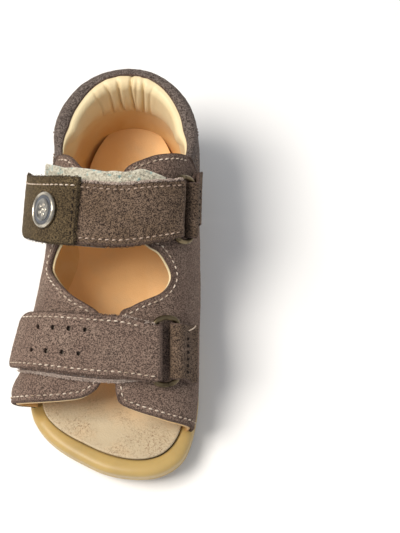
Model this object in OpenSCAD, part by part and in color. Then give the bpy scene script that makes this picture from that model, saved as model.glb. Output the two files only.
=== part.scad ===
// Toddler's right-foot suede sandal with an open toe, a closed padded heel and two
// ring-and-loop straps. The toe points along -Y, the inner (big toe) side along +X.
// The origin is on the ground, under the middle of the sole.

/* [Sole] */
// Thickness of the rubber outsole under the foot
sole_thickness = 7; // [5:0.5:8]
// Height of the raised toe rim above the outsole's upper face
toe_rim_height = 3.5; // [2:0.5:4]
// Radius of the arc that lifts the toe off the ground
toe_spring_radius = 169; // [150:1:260]
// Thickness of the fibre insole board
board_thickness = 1.4; // [1:0.1:1.6]
// Thickness of the footbed foam under its leather cover
foam_thickness = 2.6; // [2:0.1:3]
// Thickness of the footbed's leather cover
cover_thickness = 1.2; // [0.8:0.1:1.4]

/* [Upper] */
// Thickness of the suede outer leather
suede_thickness = 1.5; // [1.2:0.1:1.6]
// Thickness of the smooth lining leather
lining_thickness = 1.1; // [0.9:0.1:1.2]
// Thickness of the padding at the top of the heel collar
collar_padding = 3.4; // [2.5:0.1:3.6]
// Height of the collar's top edge above the ground
collar_height = 57; // [54:0.5:58]

/* [Straps] */
// Width of both suede straps where they fold round a ring
strap_width = 20.4; // [18:0.2:20.6]
// Thickness of one suede strap layer
strap_leather = 1.6; // [1.4:0.1:1.6]
// Thickness of each hook or loop tape
tape_thickness = 0.9; // [0.7:0.1:0.9]

/* [Rings] */
// Outside length of the wire rings, across the strap
ring_length = 28; // [27.6:0.2:30]
// Outside width of the wire rings, along the strap
ring_width = 11; // [10.6:0.2:12]
// Diameter of the ring wire
ring_wire = 2.2; // [1.8:0.1:2.3]

/* [Badge] */
// Diameter of the domed badge rivet
badge_diameter = 12.6; // [11:0.2:13]

/* [Hidden] */
$fn = 48;

suede = [0.42, 0.37, 0.35];
patch_suede = [0.30, 0.28, 0.22];
lining_leather = [0.88, 0.76, 0.56];
rubber = [0.77, 0.65, 0.38];
brass = [0.52, 0.45, 0.32];

lateral = -1;
medial = 1;
gap = 0.2;
toe_spring_start = -30;
feather_height = sole_thickness + 0.3;
heel_centre_y = 40;
heel_turn_radius = 29;
tuck_height = 18;
// The toe rim's inner outline is a little larger than the insole, and the rim ends on a
// slanted line where the upper's front edges come down to the sole.
rim_room = [1.006, 1.005];
rim_end_y = -54.6;
rim_end_turn = -5;
heel_back_bulge = 32.4;
heel_back_feather = 31.4;

// Outlines seen from above, walked from the toe tip round the lateral side to the heel.
sole_outline = [[9, -74.3], [-1, -73], [-10, -69.4], [-18.5, -65], [-25, -60], [-29.6, -54],
    [-32, -46], [-32, -36], [-29.5, -20], [-25, -3], [-23, 18], [-23.6, 40], [-21, 58],
    [-12.5, 70.5], [0.5, 74.4], [13.5, 70.5], [22, 58], [24, 40], [23.2, 18], [25.4, -3],
    [29.2, -20], [31.4, -36], [31.6, -48], [29.8, -60], [26, -68], [18.5, -73]];
insole_outline = [[7, -67.8], [-1.5, -66], [-8.5, -63.2], [-15, -60.2], [-20.6, -56.6],
    [-24.8, -52], [-26.8, -45], [-27, -36], [-23.6, -20], [-18, -3], [-15.2, 18], [-15, 38],
    [-12.8, 52], [-7.4, 62.4], [0.5, 65.6], [8.4, 62.4], [13.8, 52], [16, 38], [16.8, 18],
    [20, -3], [24.4, -20], [26.6, -36], [26.6, -48], [24.8, -58], [20.6, -64.4], [14.5, -67.4]];

// Half widths of the upper against the station along the foot: at its fullest, and at the
// feather line where it meets the sole. The stations are the same as the outlines' Y.
lateral_fullest = [[-76, 27], [-64, 33.5], [-54, 37.2], [-44, 36.6], [-26, 34.4], [-12, 32],
    [0, 30.2], [12, 29.4], [24, 28.8], [40, 27.4]];
medial_fullest = [[-76, 25], [-64, 31.5], [-54, 33.6], [-38, 33.2], [-20, 32.2], [0, 31],
    [12, 30], [24, 28.8], [40, 28]];
lateral_feather = [[-76, 22], [-60, 28.6], [-48, 30.6], [-36, 30.6], [-20, 27.4], [0, 21.8],
    [20, 20], [40, 21]];
medial_feather = [[-76, 20], [-60, 28.5], [-48, 30], [-36, 30], [-20, 28], [0, 24.4],
    [20, 21.8], [40, 22]];
// Sideways place of the ridge line, its height above the ground, and how square the
// cross-section is there (2 is an ellipse).
ridge_x = [[-76, 6], [-58, 3.5], [-40, 1], [-20, 0], [0, -0.3], [20, 0], [40, 0.5]];
ridge_height = [[-76, 22], [-60, 30], [-46, 37], [-34, 43.5], [-20, 51], [-6, 57.5], [8, 62.5],
    [18, 65.5], [28, 68.5], [36, 75], [46, 98], [60, 112], [86, 120]];
squareness = [[-60, 2.5], [-20, 2.5], [0, 2.6], [20, 2.9], [34, 3.4], [46, 3.6]];

// A strap is [u at the ring, u at the free end, Y at the ridge, outer sweep, inner sweep,
// sideways shift of the under strap, width seen from above]; u runs from -1 (lateral sole)
// by 0 (ridge) to 1 (medial sole).
front_strap = [0.273, -0.675, -35.6, 13.5, 0, -1.4, strap_width - 1];
ankle_strap = [0.396, -0.72, 6.1, 31, 45, 5, strap_width + 0.2];
strap_gap = 0.3;
under_strap = strap_gap;
loop_tape = under_strap + strap_leather + gap;
hook_tape = loop_tape + tape_thickness + 0.4;
upper_strap = hook_tape + tape_thickness + gap;
bar_offset = (under_strap + upper_strap + strap_leather) / 2;
fold_inner = (upper_strap - under_strap - strap_leather) / 2;
fold_outer = fold_inner + strap_leather;
bar_pitch = ring_width - ring_wire;
ring_corner = 2.6;
tab_leather = 1.4;
tab_width = strap_width - 0.2;
base_end_u = -0.62;
loop_end_u = -0.6;
hook_start_u = -0.05;
tape_margin_u = 0.02;

// Cubic through a table of [x, value] rows, level outside it.
function slope(t, i) =
    let (a = max(i - 1, 0), b = min(i + 1, len(t) - 1))
    (t[b][1] - t[a][1]) / (t[b][0] - t[a][0]);
function along(t, x) =
    x <= t[0][0] ? t[0][1] :
    x >= t[len(t) - 1][0] ? t[len(t) - 1][1] :
    let (
        i = max([for (k = [0:len(t) - 2]) if (t[k][0] <= x) k]),
        h = t[i + 1][0] - t[i][0],
        s = (x - t[i][0]) / h
    )
    (2 * s^3 - 3 * s^2 + 1) * t[i][1] + (s^3 - 2 * s^2 + s) * h * slope(t, i)
    + (3 * s^2 - 2 * s^3) * t[i + 1][1] + (s^3 - s^2) * h * slope(t, i + 1);

// Point on a Catmull-Rom curve through the control points p, at t from 0 to 1.
function curve_point(p, t, closed = false) =
    let (
        n = len(p),
        spans = closed ? n : n - 1,
        x = min(t, 0.999999) * spans,
        i = floor(x),
        s = x - i,
        a = closed ? p[(i + n - 1) % n] : p[max(i - 1, 0)],
        b = p[i % n],
        c = closed ? p[(i + 1) % n] : p[min(i + 1, n - 1)],
        d = closed ? p[(i + 2) % n] : p[min(i + 2, n - 1)]
    )
    (2 * b + (c - a) * s + (2 * a - 5 * b + 4 * c - d) * s^2 + (3 * b - a - 3 * c + d) * s^3) / 2;
function closed_curve(p, steps) = [for (i = [0:steps - 1]) curve_point(p, i / steps, true)];

function ease(x) = let (c = min(max(x, 0), 1)) c * c * (3 - 2 * c);
function mix(a, b, t) = a + (b - a) * t;
function unit(v) = v / norm(v);

// Lift of the ground side of the sole at the toe.
function spring(y) =
    let (d = min(y - toe_spring_start, 0)) toe_spring_radius - sqrt(toe_spring_radius^2 - d^2);

// Cross-section of the upper at one station:
// [ridge x, fullest, feather, base z, height, squareness].
function station(side, a) =
    let (
        y = min(a, heel_centre_y),
        x = along(ridge_x, y),
        back = sin(turn(a))^2,
        full = side > 0 ? along(medial_fullest, y) - x : along(lateral_fullest, y) + x,
        feather = side > 0 ? along(medial_feather, y) - x : along(lateral_feather, y) + x,
        base = feather_height + spring(y)
    )
    [x, mix(full, heel_back_bulge, back), mix(feather, heel_back_feather, back), base,
        along(ridge_height, a) - base, along(squareness, a)];
function turn(a) = min(max(a - heel_centre_y, 0) / heel_turn_radius * 180 / PI, 90);
function section(st, v) =
    let (
        c = max(cos(90 * v), 0),
        s = sin(90 * v),
        q = (c^st[5] + s^st[5])^(1 / st[5]),
        z = st[4] * s / q,
        tuck = max(0, 1 - z / tuck_height)^1.6
    )
    [st[1] * c / q - (st[1] - st[2]) * tuck, z];
// Share v of the section, from the feather line to the ridge, that lies at height z.
function v_at(side, a, z) =
    let (
        st = station(side, a),
        t = min(max((z - st[3]) / st[4], 0), 0.99999)^st[5]
    )
    atan((t / (1 - t))^(1 / st[5])) / 90;
// Point on the outer face of the upper, moved out along the section's normal by off.
function wall(side, a, v, off = 0) =
    let (
        st = station(side, a),
        p = section(st, v),
        d = unit(section(st, min(v + 0.002, 1)) - section(st, max(v - 0.002, 0))),
        r = p[0] + d[1] * off,
        z = p[1] - d[0] * off,
        phi = turn(a)
    )
    [st[0] + side * r * cos(phi), min(a, heel_centre_y) + r * sin(phi), st[3] + z];

// Triangles of a closed slab between two grids of the same size, listed outer then inner.
function slab_faces(n, m) =
    let (
        c = (n + 1) * (m + 1),
        outer = [for (i = [0:n - 1], j = [0:m - 1]) let (q = i * (m + 1) + j)
            each [[q, q + 1, q + m + 2], [q, q + m + 2, q + m + 1]]],
        inner = [for (f = outer) [f[0] + c, f[2] + c, f[1] + c]],
        rim = concat(
            [for (i = [0:n - 1]) [(i + 1) * (m + 1), i * (m + 1)]],
            [for (i = [0:n - 1]) [i * (m + 1) + m, (i + 1) * (m + 1) + m]],
            [for (j = [0:m - 1]) [j, j + 1]],
            [for (j = [0:m - 1]) [n * (m + 1) + j + 1, n * (m + 1) + j]])
    )
    concat(outer, inner, [for (e = rim) each [[e[1], e[0], e[0] + c], [e[1], e[0] + c, e[1] + c]]]);
function signed_volume(points, faces) =
    let (v = [for (f = faces) cross(points[f[0]], points[f[1]]) * points[f[2]]])
    v * [for (i = v) 1];
module slab(outer, inner) {
    n = len(outer) - 1;
    m = len(outer[0]) - 1;
    points = concat([for (row = outer) each row], [for (row = inner) each row]);
    faces = slab_faces(n, m);
    clockwise = signed_volume(points, faces) < 0;
    polyhedron(points, clockwise ? faces : [for (f = faces) [f[0], f[2], f[1]]], convexity = 6);
}

// Leather panel between a low and a high edge, both lists of [station, v] control points.
module panel(side, low, high, top_off, bottom_off) {
    grid = [for (i = [0:side_steps]) let (
            p = curve_point(low, i / side_steps),
            q = curve_point(high, i / side_steps)
        ) [for (j = [0:side_rows]) mix(p, q, j / side_rows)]];
    slab([for (row = grid) [for (g = row) wall(side, g[0], g[1], top_off)]],
        [for (row = grid) [for (g = row) wall(side, g[0], g[1], bottom_off)]]);
}

// Slice of the sole stack between two heights, following the toe spring.
module sole_layer(outline, low, high) {
    reach = 60;
    intersection() {
        linear_extrude(40) polygon(closed_curve(outline, 104));
        union() {
            translate([-reach, toe_spring_start, low])
                cube([2 * reach, 120, high - low]);
            difference() {
                translate([0, toe_spring_start, toe_spring_radius]) rotate([0, 90, 0])
                    cylinder(r = toe_spring_radius - low, h = 2 * reach, center = true);
                translate([0, toe_spring_start, toe_spring_radius]) rotate([0, 90, 0])
                    cylinder(r = toe_spring_radius - high, h = 3 * reach, center = true);
                translate([-2 * reach, toe_spring_start, -10]) cube([4 * reach, 400, 400]);
                translate([-2 * reach, -600, 60]) cube([4 * reach, 700, 400]);
            }
        }
    }
}

module outsole() {
    color(rubber) {
        sole_layer(sole_outline, 0, sole_thickness);
        difference() {
            sole_layer(sole_outline, sole_thickness - 0.5, sole_thickness + toe_rim_height);
            linear_extrude(60) polygon([for (p = closed_curve(insole_outline, 104))
                [p[0] * rim_room[0], p[1] * rim_room[1]]]);
            translate([0, rim_end_y, 0]) rotate([0, 0, rim_end_turn]) translate([-60, 0, -1])
                cube([120, 200, 60]);
        }
    }
}

module insole_board()
    color([0.55, 0.45, 0.32])
        sole_layer(insole_outline, sole_thickness + 0.1, sole_thickness + board_thickness);
module footbed_foam()
    color([0.80, 0.78, 0.70])
        sole_layer(insole_outline, sole_thickness + board_thickness + 0.1,
            sole_thickness + board_thickness + foam_thickness);
module footbed_cover()
    color(lining_leather)
        sole_layer(insole_outline, sole_thickness + board_thickness + foam_thickness + 0.1,
            sole_thickness + board_thickness + foam_thickness + cover_thickness);

// Front ends of the heel piece, then the two side pieces: the stations of each one's low
// edge, and its high edge as [station, v] points.
heel_seam_lateral = 33;
heel_seam_medial = 35;
medial_low = [34.8, 32, 28, 22, 13, 5, 0, -4, -8, -12, -17, -23, -33, -42, -46.5, -50, -52,
    -53.6, -54.8, -55.6, -56];
medial_high = [[34.8, 0.47], [32, 0.61], [28.6, 0.79], [24, 0.955], [14, 0.965], [5, 0.93],
    [-0.4, 0.76], [-2, 0.67], [-6.5, 0.585], [-10.1, 0.582], [-15.2, 0.66], [-20.6, 0.85],
    [-25, 0.955], [-44, 0.985], [-49, 0.988], [-52.1, 0.965], [-54, 0.86], [-55.4, 0.72],
    [-56.4, 0.55], [-56.4, 0.3], [-56.1, 0.12]];
lateral_low = [32.8, 30, 26, 20, 12, 5, 1, -4, -8, -15, -22, -29, -36, -42, -45, -47, -48.6,
    -49.6, -50.2, -50.6];
lateral_high = [[32.8, 0.487], [30, 0.6], [26, 0.69], [20, 0.8], [11, 0.8], [5, 0.68],
    [0.9, 0.54], [-3.8, 0.474], [-7.9, 0.508], [-17.2, 0.71], [-23.1, 0.905], [-27, 0.93],
    [-43.3, 0.93], [-46.2, 0.918], [-48.6, 0.88], [-50.8, 0.8], [-52.2, 0.62], [-52.5, 0.46],
    [-52, 0.26], [-51.2, 0.1]];
side_steps = 44;
side_rows = 7;
function foot(low) = [for (a = low) [a, 0]];

module lateral_quarter()
    color(suede)
        panel(lateral, foot(lateral_low), lateral_high, 0, -suede_thickness);
module medial_quarter()
    color(suede)
        panel(medial, foot(medial_low), medial_high, 0, -suede_thickness);

// The lining stops short of the suede's edges and stays inside it.
lining_off = -suede_thickness - gap;
function inset(high) = [for (p = high) [p[0], p[1] * 0.985]];
module lateral_lining()
    color(lining_leather)
        panel(lateral, foot(lateral_low), inset(lateral_high), lining_off,
            lining_off - lining_thickness);
module medial_lining()
    color(lining_leather)
        panel(medial, foot(medial_low), inset(medial_high), lining_off,
            lining_off - lining_thickness);

// Round the heel the station runs from one seam to the other, by the back at 0.
heel_half_turn = heel_centre_y + heel_turn_radius * PI / 2;
function heel_side(t) = t < 0 ? lateral : medial;
function heel_station(t) = heel_half_turn - abs(t) * (heel_half_turn
    - (t < 0 ? heel_seam_lateral : heel_seam_medial));
// Depth of the padded gap between the suede and the lining.
function padding(t, z) =
    ease((1 - abs(t)) / 0.3) * mix(1.3, collar_padding, ease((z - 20) / 22));
module heel_layer(from, to, z_low, z_high, deep_low, deep_high, steps, rows) {
    function at(t, z, deep) =
        let (side = heel_side(t), a = heel_station(t))
        wall(side, a, v_at(side, a, z), -deep[0] - deep[1] * padding(t, z));
    function grid(deep) = [for (i = [0:steps]) let (t = mix(from, to, i / steps))
        [for (j = [0:rows]) at(t, mix(z_low, z_high, j / rows), deep)]];
    slab(grid(deep_low), grid(deep_high));
}

module heel_quarter()
    color(suede)
        heel_layer(-1, 1, feather_height, collar_height, [0, 0], [suede_thickness, 0], 36, 8);
module heel_lining()
    color(lining_leather)
        heel_layer(-1, 1, feather_height, collar_height - 1,
            [suede_thickness + 2 * gap, 1], [suede_thickness + 2 * gap + lining_thickness, 1],
            36, 8);
module heel_counter()
    color([0.75, 0.72, 0.66])
        heel_layer(-0.68, 0.68, feather_height + 0.4, 33,
            [suede_thickness + gap, 0], [suede_thickness + gap, 0.95], 26, 5);
module collar_foam()
    color([0.90, 0.88, 0.82])
        heel_layer(-0.8, 0.8, 34, collar_height - 1,
            [suede_thickness + gap, 0], [suede_thickness + gap, 0.98], 30, 5);

// Straps. w runs across the strap from its front edge (0) to its back edge (1).
function strap_y(s, u, shift) =
    s[2] + (u < 0 ? s[3] : s[4]) * u^2 + shift * s[5] * ease((s[0] - u) / 0.45);
function strap_point(s, u, w, off, shift = 0) =
    wall(u < 0 ? lateral : medial,
        strap_y(s, u, shift) + (w - 0.5) * s[6], 1 - abs(u), off);

// Frame of a ring: [middle of the outer bar, along the bar, towards the tab's bar, outwards].
function ring_frame(s) =
    let (
        p = strap_point(s, s[0], 0, bar_offset),
        q = strap_point(s, s[0], 1, bar_offset),
        middle = (p + q) / 2,
        e1 = unit(q - p),
        chord = strap_point(s, s[0] + bar_pitch * u_per_mm(s), 0.5, bar_offset) - middle,
        e2 = unit(chord - (chord * e1) * e1)
    )
    [middle, e1, e2, cross(e2, e1)];
// Change of u that moves a point 1 mm down the medial side, next to the ring.
function u_per_mm(s) =
    0.1 / norm(strap_point(s, s[0] + 0.1, 0.5, bar_offset) - strap_point(s, s[0], 0.5, bar_offset));
// Point at an angle round a bar: 0 faces outwards, 90 faces the tab's bar.
function round_bar(f, shift, w, width, r, angle) =
    f[0] + f[1] * (w - 0.5) * width + f[2] * (shift + r * sin(angle)) + f[3] * r * cos(angle);
// A strap layer from near the bar to u at its end, pulled straight where it nears the bar.
function layer_point(s, f, u, w, off, shift) =
    let (
        near = 1 - ease((s[0] - u) / 0.25),
        start = round_bar(f, 0, w, strap_width, off - bar_offset, 0),
        surface = strap_point(s, s[0], w, off, shift)
    )
    strap_point(s, u, w, off, shift) + (start - surface) * near;
// The free end's outline: its corners are rounded off.
function end_u(s, w, round_off) =
    let (edge = min(w, 1 - w) * strap_width, r = 4)
    s[1] + (edge < r ? round_off * (1 - sqrt(1 - ((r - edge) / r)^2)) : 0);
strap_rows = [0, 0.05, 0.16, 0.38, 0.62, 0.84, 0.95, 1];
module strap_layer(s, from_u, to_u, low, high, shift, steps) {
    f = ring_frame(s);
    function grid(off) = [for (i = [0:steps])
        [for (w = strap_rows) layer_point(s, f, mix(from_u, to_u, i / steps), w, off, shift)]];
    slab(grid(high), grid(low));
}
module folded_strap(s, slant, steps) {
    f = ring_frame(s);
    fold = 8;
    function grid(r, off) = concat(
        [for (i = [0:fold - 1]) [for (w = strap_rows)
            round_bar(f, 0, w, strap_width, r, 180 - 180 * i / fold)]],
        [for (i = [0:steps]) [for (w = strap_rows)
            layer_point(s, f, mix(s[0], end_u(s, w, 0.1) + slant * w, i / steps), w, off, 0)]]);
    slab(grid(fold_outer, upper_strap + strap_leather), grid(fold_inner, upper_strap));
}
// Under straps stop short of the fold, and leave it room to turn about the bar.
function stop_u(s) = s[0] - (fold_outer + 0.9) * u_per_mm(s);

// Frame on a strap at u, w: the point's own axes, with Z outwards.
module on_strap(s, u, w, off) {
    p = strap_point(s, u, w, off);
    x = unit(strap_point(s, u + 0.01, w, off) - strap_point(s, u - 0.01, w, off));
    y0 = strap_point(s, u, w + 0.02, off) - strap_point(s, u, w - 0.02, off);
    y = unit(y0 - (y0 * x) * x);
    z = cross(x, y);
    multmatrix([[x[0], y[0], z[0], p[0]], [x[1], y[1], z[1], p[1]], [x[2], y[2], z[2], p[2]]])
        children();
}

module ring(s) {
    f = ring_frame(s);
    half_l = (ring_length - ring_wire) / 2 - ring_corner;
    half_w = bar_pitch / 2 - ring_corner;
    c = f[0] + f[2] * bar_pitch / 2;
    color(brass)
        multmatrix([[f[1][0], f[2][0], -f[3][0], c[0]], [f[1][1], f[2][1], -f[3][1], c[1]],
            [f[1][2], f[2][2], -f[3][2], c[2]]]) {
            for (k = [-1, 1]) {
                translate([0, k * bar_pitch / 2, 0]) rotate([0, 90, 0])
                    cylinder(d = ring_wire, h = 2 * half_l, center = true);
                translate([k * (half_l + ring_corner), 0, 0]) rotate([90, 0, 0])
                    cylinder(d = ring_wire, h = 2 * half_w, center = true);
            }
            for (q = [0:3])
                translate([(q == 0 || q == 3 ? 1 : -1) * half_l, (q < 2 ? 1 : -1) * half_w, 0])
                    rotate([0, 0, 90 * q]) rotate_extrude(angle = 90)
                        translate([ring_corner, 0]) circle(d = ring_wire);
        }
}
// Leather tab folded over the ring's inner bar and sewn down the side of the sandal.
// Short tab, folded round the ring's inner bar and sewn down: low_u is where it ends and
// sweep is how far towards the heel its end lies.
module ring_tab(s, width_top, width_low, low_u, sweep) {
    f = ring_frame(s);
    fold = 8;
    steps = 12;
    r0 = fold_inner;
    r1 = fold_inner + tab_leather;
    u_bar = s[0] + bar_pitch * u_per_mm(s);
    y_bar = strap_y(s, u_bar, 0);
    rows = [0, 0.25, 0.5, 0.75, 1];
    function arm(i, w, r, sign) =
        let (
            t = i / steps,
            u = mix(u_bar, low_u, t),
            y = y_bar + sweep * t + (w - 0.5) * mix(width_top, width_low, t),
            low = sign < 0 ? 0.35 + r1 - r : 0.35 + tab_leather + gap + r - r0,
            start = round_bar(f, bar_pitch, w, width_top, sign * r, 0),
            off = mix(bar_offset + sign * r, low, ease(t / 0.7)),
            here = wall(medial, y_bar + (w - 0.5) * width_top, 1 - u_bar,
                bar_offset + sign * r)
        )
        wall(medial, y, 1 - u, off) + (start - here) * (1 - ease(t / 0.8));
    function grid(r) = concat(
        [for (i = [steps:-1:0]) [for (w = rows) arm(i, w, r, -1)]],
        [for (i = [1:fold - 1]) [for (w = rows)
            round_bar(f, bar_pitch, w, width_top, r, 180 + 180 * i / fold)]],
        [for (i = [0:steps]) [for (w = rows) arm(i, w, r, 1)]]);
    color(suede) slab(grid(r1), grid(r0));
}

module front_strap_base()
    color(suede)
        strap_layer(front_strap, stop_u(front_strap), base_end_u, under_strap,
            under_strap + strap_leather, 1, 20);
module front_loop_tape()
    color([0.70, 0.68, 0.62])
        strap_layer(front_strap, stop_u(front_strap) - tape_margin_u, loop_end_u, loop_tape,
            loop_tape + tape_thickness, 1, 20);
module front_hook_tape()
    color([0.45, 0.42, 0.38])
        strap_layer(front_strap, hook_start_u, -0.52, hook_tape, hook_tape + tape_thickness, 0, 10);
module front_strap_flap()
    color(suede) folded_strap(front_strap, 0.12, 24);
module front_ring() ring(front_strap);
module front_ring_tab() ring_tab(front_strap, tab_width, tab_width, 0.6, 3.7);

module ankle_strap_base()
    color(suede)
        strap_layer(ankle_strap, stop_u(ankle_strap), base_end_u, under_strap,
            under_strap + strap_leather, 1, 24);
module ankle_loop_tape()
    color([0.68, 0.70, 0.66])
        strap_layer(ankle_strap, stop_u(ankle_strap) - tape_margin_u, loop_end_u, loop_tape,
            loop_tape + tape_thickness, 1, 24);
module ankle_hook_tape()
    color([0.45, 0.42, 0.38])
        strap_layer(ankle_strap, hook_start_u, -0.68, hook_tape, hook_tape + tape_thickness, 0, 12);
module ankle_strap_flap()
    color(suede) folded_strap(ankle_strap, 0, 28);
module ankle_ring() ring(ankle_strap);
module ankle_ring_tab() ring_tab(ankle_strap, tab_width, tab_width - 1, 0.62, 6.2);

patch_off = upper_strap + strap_leather + gap;
patch_thickness = 1.4;
badge_u = -0.41;
badge_w = 0.43;
badge_off = patch_off + patch_thickness + 0.1;
badge_radius = badge_diameter / 2;
badge_section = [[0, 0], [badge_radius - 0.3, 0], [badge_radius, 0.35], [badge_radius - 0.4, 1.2],
    [badge_radius - 1.1, 1.7], [badge_radius - 1.7, 1.5], [badge_radius - 1.9, 1], [0, 1]];
module ankle_end_patch() {
    s = ankle_strap;
    rows = [-0.05, 0.2, 0.4, 0.6, 0.8, 1.04];
    function grid(off) = [for (i = [0:12])
        [for (w = rows) strap_point(s, mix(-0.222, s[1] - 0.015, i / 12), w, off)]];
    color(patch_suede) slab(grid(patch_off + patch_thickness), grid(patch_off));
}
module badge_rim()
    color([0.55, 0.53, 0.48])
        on_strap(ankle_strap, badge_u, badge_w, badge_off)
            rotate_extrude() polygon(badge_section);
module badge_inlay()
    color([0.18, 0.20, 0.24])
        on_strap(ankle_strap, badge_u, badge_w, badge_off + 1 + gap)
            cylinder(r = badge_radius - 2.1, h = 0.3);
// The rivet's shank and the washer that it is set over, under the strap.
module badge_post()
    color([0.55, 0.53, 0.48])
        on_strap(ankle_strap, badge_u, badge_w, upper_strap + 0.1) {
            cylinder(r = 1.3, h = badge_off - upper_strap - 0.1 - gap);
            cylinder(r = 3.2, h = 0.4);
        }

outsole();
insole_board();
footbed_foam();
footbed_cover();
heel_quarter();
lateral_quarter();
medial_quarter();
heel_lining();
lateral_lining();
medial_lining();
heel_counter();
collar_foam();
front_strap_base();
front_loop_tape();
front_strap_flap();
front_hook_tape();
front_ring();
front_ring_tab();
ankle_strap_base();
ankle_loop_tape();
ankle_strap_flap();
ankle_hook_tape();
ankle_end_patch();
badge_rim();
badge_inlay();
badge_post();
ankle_ring();
ankle_ring_tab();
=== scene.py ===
"""Looks of a toddler's suede sandal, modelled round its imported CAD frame.

The toe points along -Y, the inner (big toe) side along +X, and the ground is at Z 0. Sizes are
in millimetres up to the moment a mesh is made; Blender's objects are in metres.
"""

import logging
import math
from dataclasses import dataclass, field
from enum import Enum
from functools import cached_property
from typing import Any, Callable, Sequence

import bmesh
import bpy
import numpy as np
from mathutils import Matrix, Vector, noise
from mathutils.kdtree import KDTree


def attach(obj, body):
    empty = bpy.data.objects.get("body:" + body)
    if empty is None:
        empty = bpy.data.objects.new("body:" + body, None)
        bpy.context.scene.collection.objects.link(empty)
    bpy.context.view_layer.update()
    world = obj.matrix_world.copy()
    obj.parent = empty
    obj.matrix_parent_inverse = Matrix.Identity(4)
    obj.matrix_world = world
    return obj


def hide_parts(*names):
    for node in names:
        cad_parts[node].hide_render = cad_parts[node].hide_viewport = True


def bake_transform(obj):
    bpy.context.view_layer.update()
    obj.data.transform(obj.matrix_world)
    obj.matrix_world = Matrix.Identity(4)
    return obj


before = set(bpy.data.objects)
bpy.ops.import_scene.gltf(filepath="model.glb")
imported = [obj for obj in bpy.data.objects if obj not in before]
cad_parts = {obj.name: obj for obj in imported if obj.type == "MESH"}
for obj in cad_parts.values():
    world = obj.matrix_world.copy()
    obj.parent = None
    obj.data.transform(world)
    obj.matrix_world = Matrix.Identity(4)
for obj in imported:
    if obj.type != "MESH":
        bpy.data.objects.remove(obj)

LOG = logging.getLogger("sandal")
MM = 0.001
SEED = 21
Array = np.ndarray
Surface = Callable[[Array, Array], Array]
Material, Piece = bpy.types.Material, bpy.types.Object
Tree, Socket = bpy.types.NodeTree, bpy.types.NodeSocket


class Side(Enum):
    """The two sides of the foot, as the sign of X."""

    LATERAL = -1.0
    MEDIAL = 1.0


class Edge(Enum):
    """The four edges of a sheet's grid."""

    START = "first row"
    END = "last row"
    LOW = "first column"
    HIGH = "last column"


ALL_EDGES = (Edge.START, Edge.END, Edge.LOW, Edge.HIGH)
LONG_EDGES = (Edge.LOW, Edge.HIGH)


# --- Curves and number helpers ---


def ease(x: Array) -> Array:
    """Smooth step from 0 at 0 to 1 at 1."""
    c = np.clip(x, 0.0, 1.0)
    return c * c * (3 - 2 * c)


def mix(a: Any, b: Any, t: Any) -> Any:
    """Value between a and b at t from 0 to 1."""
    return a + (b - a) * t


def unit(v: Array) -> Array:
    """Vectors of the same directions, of length 1."""
    return v / np.maximum(np.linalg.norm(v, axis=-1, keepdims=True), 1e-12)


def along(table: Sequence[tuple[float, float]], x: Array) -> Array:
    """Cubic through a table of (position, value) rows, level outside it.

    Args:
        table: rows in rising order of position.
        x: positions to read.

    Returns:
        The values at x.
    """
    rows = np.asarray(table, float)
    xs, ys = rows[:, 0], rows[:, 1]
    last = len(xs) - 1
    before = np.maximum(np.arange(last + 1) - 1, 0)
    after = np.minimum(np.arange(last + 1) + 1, last)
    slopes = (ys[after] - ys[before]) / (xs[after] - xs[before])
    x = np.clip(x, xs[0], xs[-1])
    i = np.clip(np.searchsorted(xs, x, side="right") - 1, 0, last - 1)
    h = xs[i + 1] - xs[i]
    s = (x - xs[i]) / h
    return (
        (2 * s**3 - 3 * s**2 + 1) * ys[i] + (s**3 - 2 * s**2 + s) * h * slopes[i]
        + (3 * s**2 - 2 * s**3) * ys[i + 1] + (s**3 - s**2) * h * slopes[i + 1]
    )


def curve_points(control: Sequence[Sequence[float]], t: Array, closed: bool = False) -> Array:
    """Points on the Catmull-Rom curve through control, at t from 0 to 1.

    Args:
        control: the points to pass through.
        t: places along the curve.
        closed: whether its ends join.

    Returns:
        The points.
    """
    p = np.asarray(control, float)
    n = len(p)
    x = np.clip(t, 0, 0.999999) * (n if closed else n - 1)
    i = np.floor(x).astype(int)
    s = (x - i)[:, None]
    if closed:
        a, b, c, d = (p[(i + k) % n] for k in (-1, 0, 1, 2))
    else:
        a, b, c, d = (p[np.clip(i + k, 0, n - 1)] for k in (-1, 0, 1, 2))
    cubic = 3 * b - a - 3 * c + d
    return (2 * b + (c - a) * s + (2 * a - 5 * b + 4 * c - d) * s**2 + cubic * s**3) / 2


def lengths(points: Array) -> Array:
    """Running length along a line of points, from 0."""
    steps = np.linalg.norm(np.diff(points, axis=0), axis=1)
    return np.concatenate([[0.0], np.cumsum(steps)])


def read_rows(values: Array, run: Array, at: Array) -> Array:
    """Rows of values, known at the running lengths run, at other running lengths."""
    return np.stack([np.interp(at, run, column) for column in values.T], -1)


def resample(points: Array, at: Array) -> Array:
    """Points of a line at the given running lengths."""
    return read_rows(points, lengths(points), at)


def spaced(length: float, step: float, rim: float, start: bool = True, end: bool = True) -> Array:
    """Fractions from 0 to 1 about one step apart, closer within a rounded edge's reach.

    Args:
        length: the real length that the fractions stand for.
        step: distance between neighbours away from the edges.
        rim: reach of the rounding.
        start: whether the first edge is rounded.
        end: whether the last edge is rounded.

    Returns:
        The rising fractions.
    """
    near = np.array([0.0, 0.08, 0.3, 0.65, 1.0]) * rim
    low = near if start else near[:1]
    high = length - (near[::-1] if end else near[:1])
    count = max(int(round((high[0] - low[-1]) / step)), 1)
    return np.concatenate([low[:-1], np.linspace(low[-1], high[0], count + 1), high[1:]]) / length


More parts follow.
